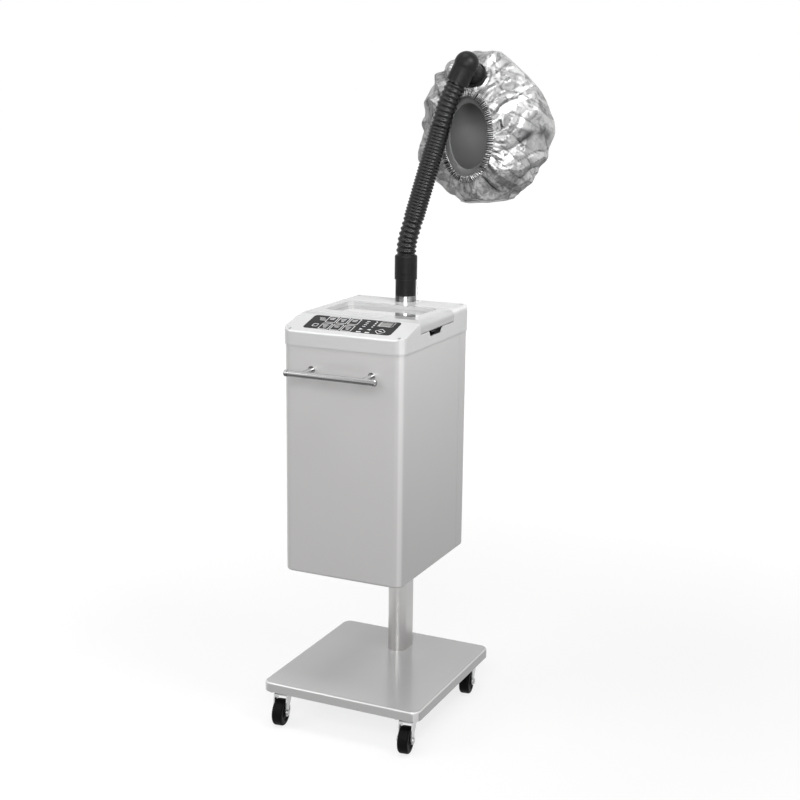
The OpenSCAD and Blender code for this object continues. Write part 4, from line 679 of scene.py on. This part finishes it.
# The middle of the face opening lies to the right of the hood's own middle, below it, and in
# front of it by this share of half the depth
mouth_side, mouth_drop, mouth_front = 0.003, 0.011, 0.9
# A shell goes round to this angle from its pole. From this share of its rows on, over the rest,
# it bends in to the opening.
shell_turn, rim_from, rim_over = 140, 0.7, 0.3
# Between these depths along the branch the collar clamps the shells
clamped = (0.03, 0.09)


def egg(angle, row, w, d, h, open_w, open_h):
    """A point of the hood's form of that width, depth and height, with that opening: row 0 is the
    pole behind, row 1 the rim of the face opening."""
    t = math.radians(row * shell_turn)
    rim = 0 if row < rim_from else ((row - rim_from) / rim_over) ** 1.3
    up = math.sin(t) * math.sin(angle)
    shell = Vector((w / 2 * math.sin(t) * math.cos(angle), d / 2 * (math.cos(t) - 0.22 * up * up), h / 2 * up))
    edge_point = Vector((open_w / 2 * math.cos(angle) + mouth_side, -mouth_front * d / 2,
                         open_h / 2 * math.sin(angle) - mouth_drop))
    return shell.lerp(edge_point, rim)


def shell_of(name, around, rows, point):
    """A sheet from rows of points round the hood, closed at the pole behind it."""
    mesh = bmesh.new()
    pole = mesh.verts.new(point(0, 0))
    rings = [[mesh.verts.new(point(2 * math.pi * i / around, k / rows)) for i in range(around)]
             for k in range(1, rows + 1)]
    sheet_uv = mesh.loops.layers.uv.new("sheet")
    for i in range(around):
        face = mesh.faces.new((pole, rings[0][(i + 1) % around], rings[0][i]))
        corners = (((i + 0.5) / around, 0), ((i + 1) / around, 1 / rows), (i / around, 1 / rows))
        for loop, uv in zip(face.loops, corners):
            loop[sheet_uv].uv = uv
        for k in range(rows - 1):
            face = mesh.faces.new((rings[k][i], rings[k][(i + 1) % around], rings[k + 1][(i + 1) % around],
                                   rings[k + 1][i]))
            corners = ((i, k + 1), (i + 1, k + 1), (i + 1, k + 2), (i, k + 2))
            for loop, (u, v) in zip(face.loops, corners):
                loop[sheet_uv].uv = (u / around, v / rows)
    data = bpy.data.meshes.new(name)
    mesh.normal_update()
    mesh.to_mesh(data)
    mesh.free()
    piece = bpy.data.objects.new(name, data)
    bpy.context.scene.collection.objects.link(piece)
    return piece


def open_round(piece, radius, first, last):
    """Opens a round hole where the branch passes, between two depths along it."""
    mesh = bmesh.new()
    mesh.from_mesh(piece.data)

    def from_axis(at):
        depth = (at - ball).dot(branch)
        return depth, (at - ball) - branch * depth

    gone = [v for v in mesh.verts if first < from_axis(v.co)[0] < last and from_axis(v.co)[1].length < radius]
    touched = {w for v in gone for e in v.link_edges for w in e.verts} - set(gone)
    bmesh.ops.delete(mesh, geom=gone, context="VERTS")
    for v in touched:
        depth, off = from_axis(v.co)
        v.co = ball + branch * depth + off.normalized() * radius
    mesh.to_mesh(piece.data)
    mesh.free()


dome_w, dome_d, dome_h = hood_w * 0.87, hood_d * 0.85, hood_h * 0.87
dome_hole, dome_wall = 0.0275, 0.003


def dome_point(angle, row):
    """A point of the dome's outside, whose opening is a little wider than the cover's."""
    return hood + egg(angle, row, dome_w, dome_d, dome_h, mouth_w * 1.15, mouth_h * 1.1)


dome = shell_of("dome_shell", 120, 60, dome_point)
open_round(dome, dome_hole, *clamped)
apply_modifier(dome, "SOLIDIFY", thickness=dome_wall, offset=-1, use_rim=True)
settle(dome)
bpy.ops.object.shade_smooth_by_angle(angle=math.radians(50))
dome.data.materials.append(finish("dome_plastic", (0.22, 0.22, 0.22), 0.0, 0.5, grain=700, speckle=0.03,
                                  cloud=0.05, bump=0.01)[0])
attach(dome, "hood")
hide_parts("hood_dome")

bpy.ops.object.select_all(action="DESELECT")
bpy.ops.mesh.primitive_circle_add(vertices=96, radius=0.5, fill_type="NOTHING", rotation=(math.radians(90), 0, 0),
                                  location=hood + Vector((mouth_side, -mouth_front * dome_d / 2 - 0.002,
                                                          -mouth_drop)))
lip = bpy.context.object
lip.name = "inner_lip"
lip.scale = (mouth_w * 1.17, mouth_h * 1.12, 1)
settle(lip)
edit(lip, True)
lip_middle = hood + Vector((mouth_side, 0, -mouth_drop))
for inward, forward in ((0.94, -0.0008), (0.9, -0.0006), (0.88, 0.0), (0.985, 0.0012)):
    bpy.ops.mesh.extrude_region_move(TRANSFORM_OT_translate={"value": (0, forward, 0)})
    bpy.ops.transform.resize(value=(inward, 1, inward), center_override=lip_middle)
settle(lip)
apply_modifier(lip, "SOLIDIFY", thickness=0.0012, offset=0, use_rim=True)
settle(lip)
bpy.ops.object.shade_smooth_by_angle(angle=math.radians(50))
lip_rubber = finish("lip_rubber", (0.1, 0.1, 0.1), 0.0, 0.55, grain=500, speckle=0.05, cloud=0.05, bump=0.01)[0]
lip.data.materials.append(lip_rubber)
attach(lip, "hood")

# The hood's cover: crinkled cloth with an aluminium face, cut too large and drawn in by elastic
# at the face opening, so it falls in folds. It is clamped under the collar.
wide_folds, narrow_folds, fold_deep = 6, 18, 0.08


def fold(angle, row):
    """The wide folds of the cover, from 0 on a crest to 1 in a hollow."""
    drift = math.radians(100) * math.cos(angle - math.radians(65))
    wide = 0.5 - 0.5 * math.cos(wide_folds * (angle - math.radians(2)) + drift)
    narrow = 0.5 - 0.5 * math.cos(narrow_folds * angle + math.radians(40) * math.sin(angle))
    return 0.45 * wide * math.sin(math.pi * row) + 0.18 * narrow * math.sin(math.pi * row ** 2.5)


def cover_point(angle, row):
    """A point of the cover before it is creased."""
    return hood + egg(angle, row, hood_w, hood_d, hood_h, mouth_w, mouth_h) * (1 - fold_deep * fold(angle, row))


cover = shell_of("cover_cloth", 280, 120, cover_point)
cover_hole, cloth_thick = 0.0294, 0.0006
# The cloth keeps this gap to the dome up to a row, from which on the elastic holds it there. Up
# to another row a crease goes no deeper than to this share of the hood's form.
least_gap, gap_until = 0.003, 0.96
least_share, share_until = 0.895, 0.9
# The seam: its row, how far it spreads and how high it stands
seam_row, seam_reach, seam_high = 0.615, 0.045, 0.0055
# Small gathers at the elastic and longer pulls behind them: how many, how deep, and on what rows
gather_count, gather_deep, gather_row = 46, 0.0026, 0.86
pull_count, pull_deep, pull_row, pull_reach = 11, 0.0085, 0.82, 0.32
# The two sides where the cloth is drawn taut over the dome, and how far off they then lie
taut_above, taut_below = (Vector((0.62, 0.30, 0.72)), 0.146), (Vector((0.1, -0.05, -0.99)), 0.158)
random.seed(11)
noise.seed_set(5)
creases = []
for size in (0.190, 0.150, 0.120, 0.095, 0.072, 0.054, 0.036):
    way = Vector([random.gauss(0, 1) for _ in range(3)]).normalized()
    creases.append((way, size, random.random()))


def within(value, least=0.0):
    """The value, kept between the least and 1."""
    return min(1.0, max(least, value))


def crumple(at):
    """Flat patches between sharp creases, from zigzags across each other, bent by noise. Gives back the depth, and
    the painted shade of the crease: up to 1 in the sharp bottom of a fold."""
    bent = at + noise.noise_vector(at / 0.13) * 0.030 + noise.noise_vector(at / 0.06) * 0.007
    taut = within(((at - hood).normalized().dot(taut_above[0]) - 0.72) / 0.2)
    deep = dark = 0.0
    for way, size, start in creases:
        strong = within(0.55 + 1.3 * noise.noise(at / 0.08 + way * 5), 0.1) * (1 - 0.6 * taut)
        zigzag = abs((bent.dot(way) / size + start) % 1 - 0.5) * 4 - 1
        deep += zigzag * strong * size * 0.062
        dark = max(dark, strong * within((-zigzag - 1 + 0.011 / size * 0.9) * size / 0.009))
    return deep, dark


dome_tree = BVHTree.FromObject(dome, bpy.context.evaluated_depsgraph_get())
mesh = bmesh.new()
mesh.from_mesh(cover.data)
mesh.normal_update()
crease_shade_layer = mesh.verts.layers.float.new("crease")
sheet_uv = mesh.loops.layers.uv["sheet"]
moves = []
for v in mesh.verts:
    row = within(v.link_loops[0][sheet_uv].uv.y)
    at = v.co - hood
    angle = math.atan2(at.z + mouth_drop * row, at.x - mouth_side * row)
    # Nothing moves at the elastic and at the collar
    calm = min(1.0, (1 - row) * 11)
    off = (v.co - ball) - branch * (v.co - ball).dot(branch)
    near = within((off.length / cover_hole - 1) * 1.6)
    seam = seam_high * max(0.0, 1 - abs(row - seam_row) / seam_reach)
    wander = 5 * noise.noise(at / 0.1)
    gathers = math.sin(gather_count * angle + wander) * gather_deep * max(0.0, row - gather_row) / (1 - gather_row)
    # The elastic pulls long folds into the cloth round it
    place_in_pull = (pull_count * angle / (2 * math.pi) + 1.1 * noise.noise(at / 0.09)) % 1
    strong = within(0.6 + 1.6 * noise.noise(at / 0.12 + Vector((3, 1, 2))), 0.15)
    pulls = (abs(place_in_pull - 0.5) * 4 - 1) * pull_deep
    pulls *= max(0.0, 1 - abs(row - pull_row) / pull_reach) * strong
    deep, dark = crumple(v.co)
    # Painted shade, kept for the material: in the sharp creases and in the hollows of the gathers and long pulls
    v[crease_shade_layer] = (dark * calm * near + 0.5 * max(0.0, -gathers / gather_deep)
                       + max(0.0, -pulls / pull_deep - 0.35))
    moves.append(v.normal * ((deep + seam + gathers * calm + pulls) * calm * near))
for v, move in zip(mesh.verts, moves):
    uv = v.link_loops[0][sheet_uv].uv
    v.co += move
    least = egg(uv.x * 2 * math.pi, uv.y, hood_w, hood_d, hood_h, mouth_w, mouth_h).length * least_share
    if uv.y < share_until and (v.co - hood).length < least:
        v.co = hood + (v.co - hood).normalized() * least
    for way, reach in (taut_above, taut_below):
        over = (v.co - hood).dot(way) - reach
        if over > 0:
            v.co -= way * over * 0.75
    touch = dome_tree.find_nearest(v.co)[0]
    outward = (touch - hood).normalized()
    clear = (v.co - touch).dot(outward)
    if uv.y < gap_until and clear < least_gap:
        v.co += outward * (least_gap - clear)
mesh.to_mesh(cover.data)
mesh.free()
open_round(cover, cover_hole, *clamped)
apply_modifier(cover, "SOLIDIFY", thickness=cloth_thick, offset=-1, use_rim=True)
settle(cover)
bpy.ops.object.shade_smooth_by_angle(angle=math.radians(9))
silver_cloth, tree, shader = new_material("silver_cloth", (0.47, 0.47, 0.474), 0.35, 0.34)
# Fine creases: the edges of bent cells
spot = tree.nodes.new("ShaderNodeTexCoord").outputs["Object"]
shift = tree.nodes.new("ShaderNodeTexNoise")
shift.inputs["Scale"].default_value = 22
tree.links.new(spot, shift.inputs["Vector"])
bend = vector(tree, "ADD", spot, vector(tree, "SCALE", shift.outputs["Color"], 0.035))
heights = []
for scale in (17, 46):
    cells = tree.nodes.new("ShaderNodeTexVoronoi")
    cells.feature = "DISTANCE_TO_EDGE"
    cells.inputs["Scale"].default_value = scale
    tree.links.new(bend, cells.inputs["Vector"])
    heights.append(cells.outputs["Distance"])
height = number(tree, "ADD", heights[0], number(tree, "MULTIPLY", heights[1], 0.22))
raised = bump_on(tree, shader, height, 0.7, 0.012)
# Painted reflection: each little facet would mirror another part of a room, so its colour is painted to follow the
# way it faces, lighter where it faces up
facing = tree.nodes.new("ShaderNodeMix")
facing.data_type = "VECTOR"
facing.inputs["Factor"].default_value = 0.6
tree.links.new(tree.nodes.new("ShaderNodeNewGeometry").outputs["Normal"], facing.inputs[4])
tree.links.new(raised, facing.inputs[5])
painted_room = tree.nodes.new("ShaderNodeTexNoise")
painted_room.inputs["Scale"].default_value = 2.8
painted_room.inputs["Detail"].default_value = 1.2
tree.links.new(facing.outputs[1], painted_room.inputs["Vector"])
skyward = vector(tree, "DOT_PRODUCT", facing.outputs[1], (0.04, 0.02, 0.06))
painted_reflection = remap(tree, number(tree, "ADD", painted_room.outputs[0], skyward), (0.38, 0.62), (0.13, 0.4))
# Painted shade: the bottoms of sharp creases, and the edges of the fine cells, are darker
creased = tree.nodes.new("ShaderNodeAttribute")
creased.attribute_name = "crease"
lighter = number(tree, "SUBTRACT", 1.0, number(tree, "MULTIPLY", creased.outputs["Fac"], 0.85))
lighter = number(tree, "MULTIPLY", lighter, remap(tree, heights[0], (0.0, 0.03), (0.84, 1.0)))
toned = number(tree, "MULTIPLY", painted_reflection, lighter)
shaded = tree.nodes.new("ShaderNodeCombineColor")
for socket in ("Red", "Green", "Blue"):
    tree.links.new(toned, shaded.inputs[socket])
tree.links.new(shaded.outputs[0], shader.inputs["Base Color"])
tree.links.new(remap(tree, noise_on(tree, 42, 4), (0.0, 1.0), (0.22, 0.4)), shader.inputs["Roughness"])
cover.data.materials.append(silver_cloth)
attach(cover, "hood")
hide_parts("hood_cover")

# The elastic at the face opening: a tunnel of the same cloth, sewn round an elastic cord that
# gathers it into close small pleats.
band_mesh = bmesh.new()
around, section, pleats = 1040, 12, 130
# Half its width and half its thickness: in a hollow, and what a ridge adds. Its middle lies this
# far out from the cover's rim and in front of it.
band_w, band_t, band_out, band_up = (0.0069, 0.0009), (0.0012, 0.0024), 0.0052, 0.0026
random.seed(4)
uneven = [random.uniform(-0.5, 0.5) for _ in range(pleats + 1)]
hollow = band_mesh.verts.layers.float.new("crease")
rings = []
for i in range(around):
    angle = 2 * math.pi * i / around
    pleat = pleats * i / around
    weight = pleat % 1
    phase = pleat + uneven[int(pleat)] * (1 - weight) + uneven[(int(pleat) + 1) % pleats] * weight
    ridge = 0.5 + 0.5 * math.cos(2 * math.pi * phase)
    out_way = Vector((math.cos(angle) * mouth_h, 0, math.sin(angle) * mouth_w)).normalized()
    rim = cover_point(angle, 1.0)
    along = (cover_point(angle, 0.975) - rim).normalized()
    flat_way = (along + out_way * 1.2).normalized()
    rise = flat_way.cross(out_way.cross(Vector((0, -1, 0))).normalized())
    rise = rise if rise.y < 0 else -rise
    centre = rim + flat_way * band_out + rise * band_up
    ring = []
    for j in range(section):
        b = 2 * math.pi * j / section
        wide = band_w[0] + band_w[1] * ridge
        thick = band_t[0] + band_t[1] * ridge
        ring.append(band_mesh.verts.new(centre + flat_way * wide * math.cos(b) + rise * thick * math.sin(b)))
        # Painted shade in the hollows between the pleats, read by the cloth as its crease shade
        ring[-1][hollow] = 1.35 * (1 - ridge) ** 1.5
    rings.append(ring)
for i in range(around):
    for j in range(section):
        following, beside = rings[(i + 1) % around], (j + 1) % section
        band_mesh.faces.new((rings[i][j], following[j], following[beside], rings[i][beside]))
bmesh.ops.recalc_face_normals(band_mesh, faces=band_mesh.faces)
data = bpy.data.meshes.new("elastic_ruche")
band_mesh.to_mesh(data)
band_mesh.free()
ruche = bpy.data.objects.new("elastic_ruche", data)
bpy.context.scene.collection.objects.link(ruche)
settle(ruche)
bpy.ops.object.shade_smooth_by_angle(angle=math.radians(60))
ruche.data.materials.append(silver_cloth)
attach(ruche, "hood")
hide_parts("elastic_band")
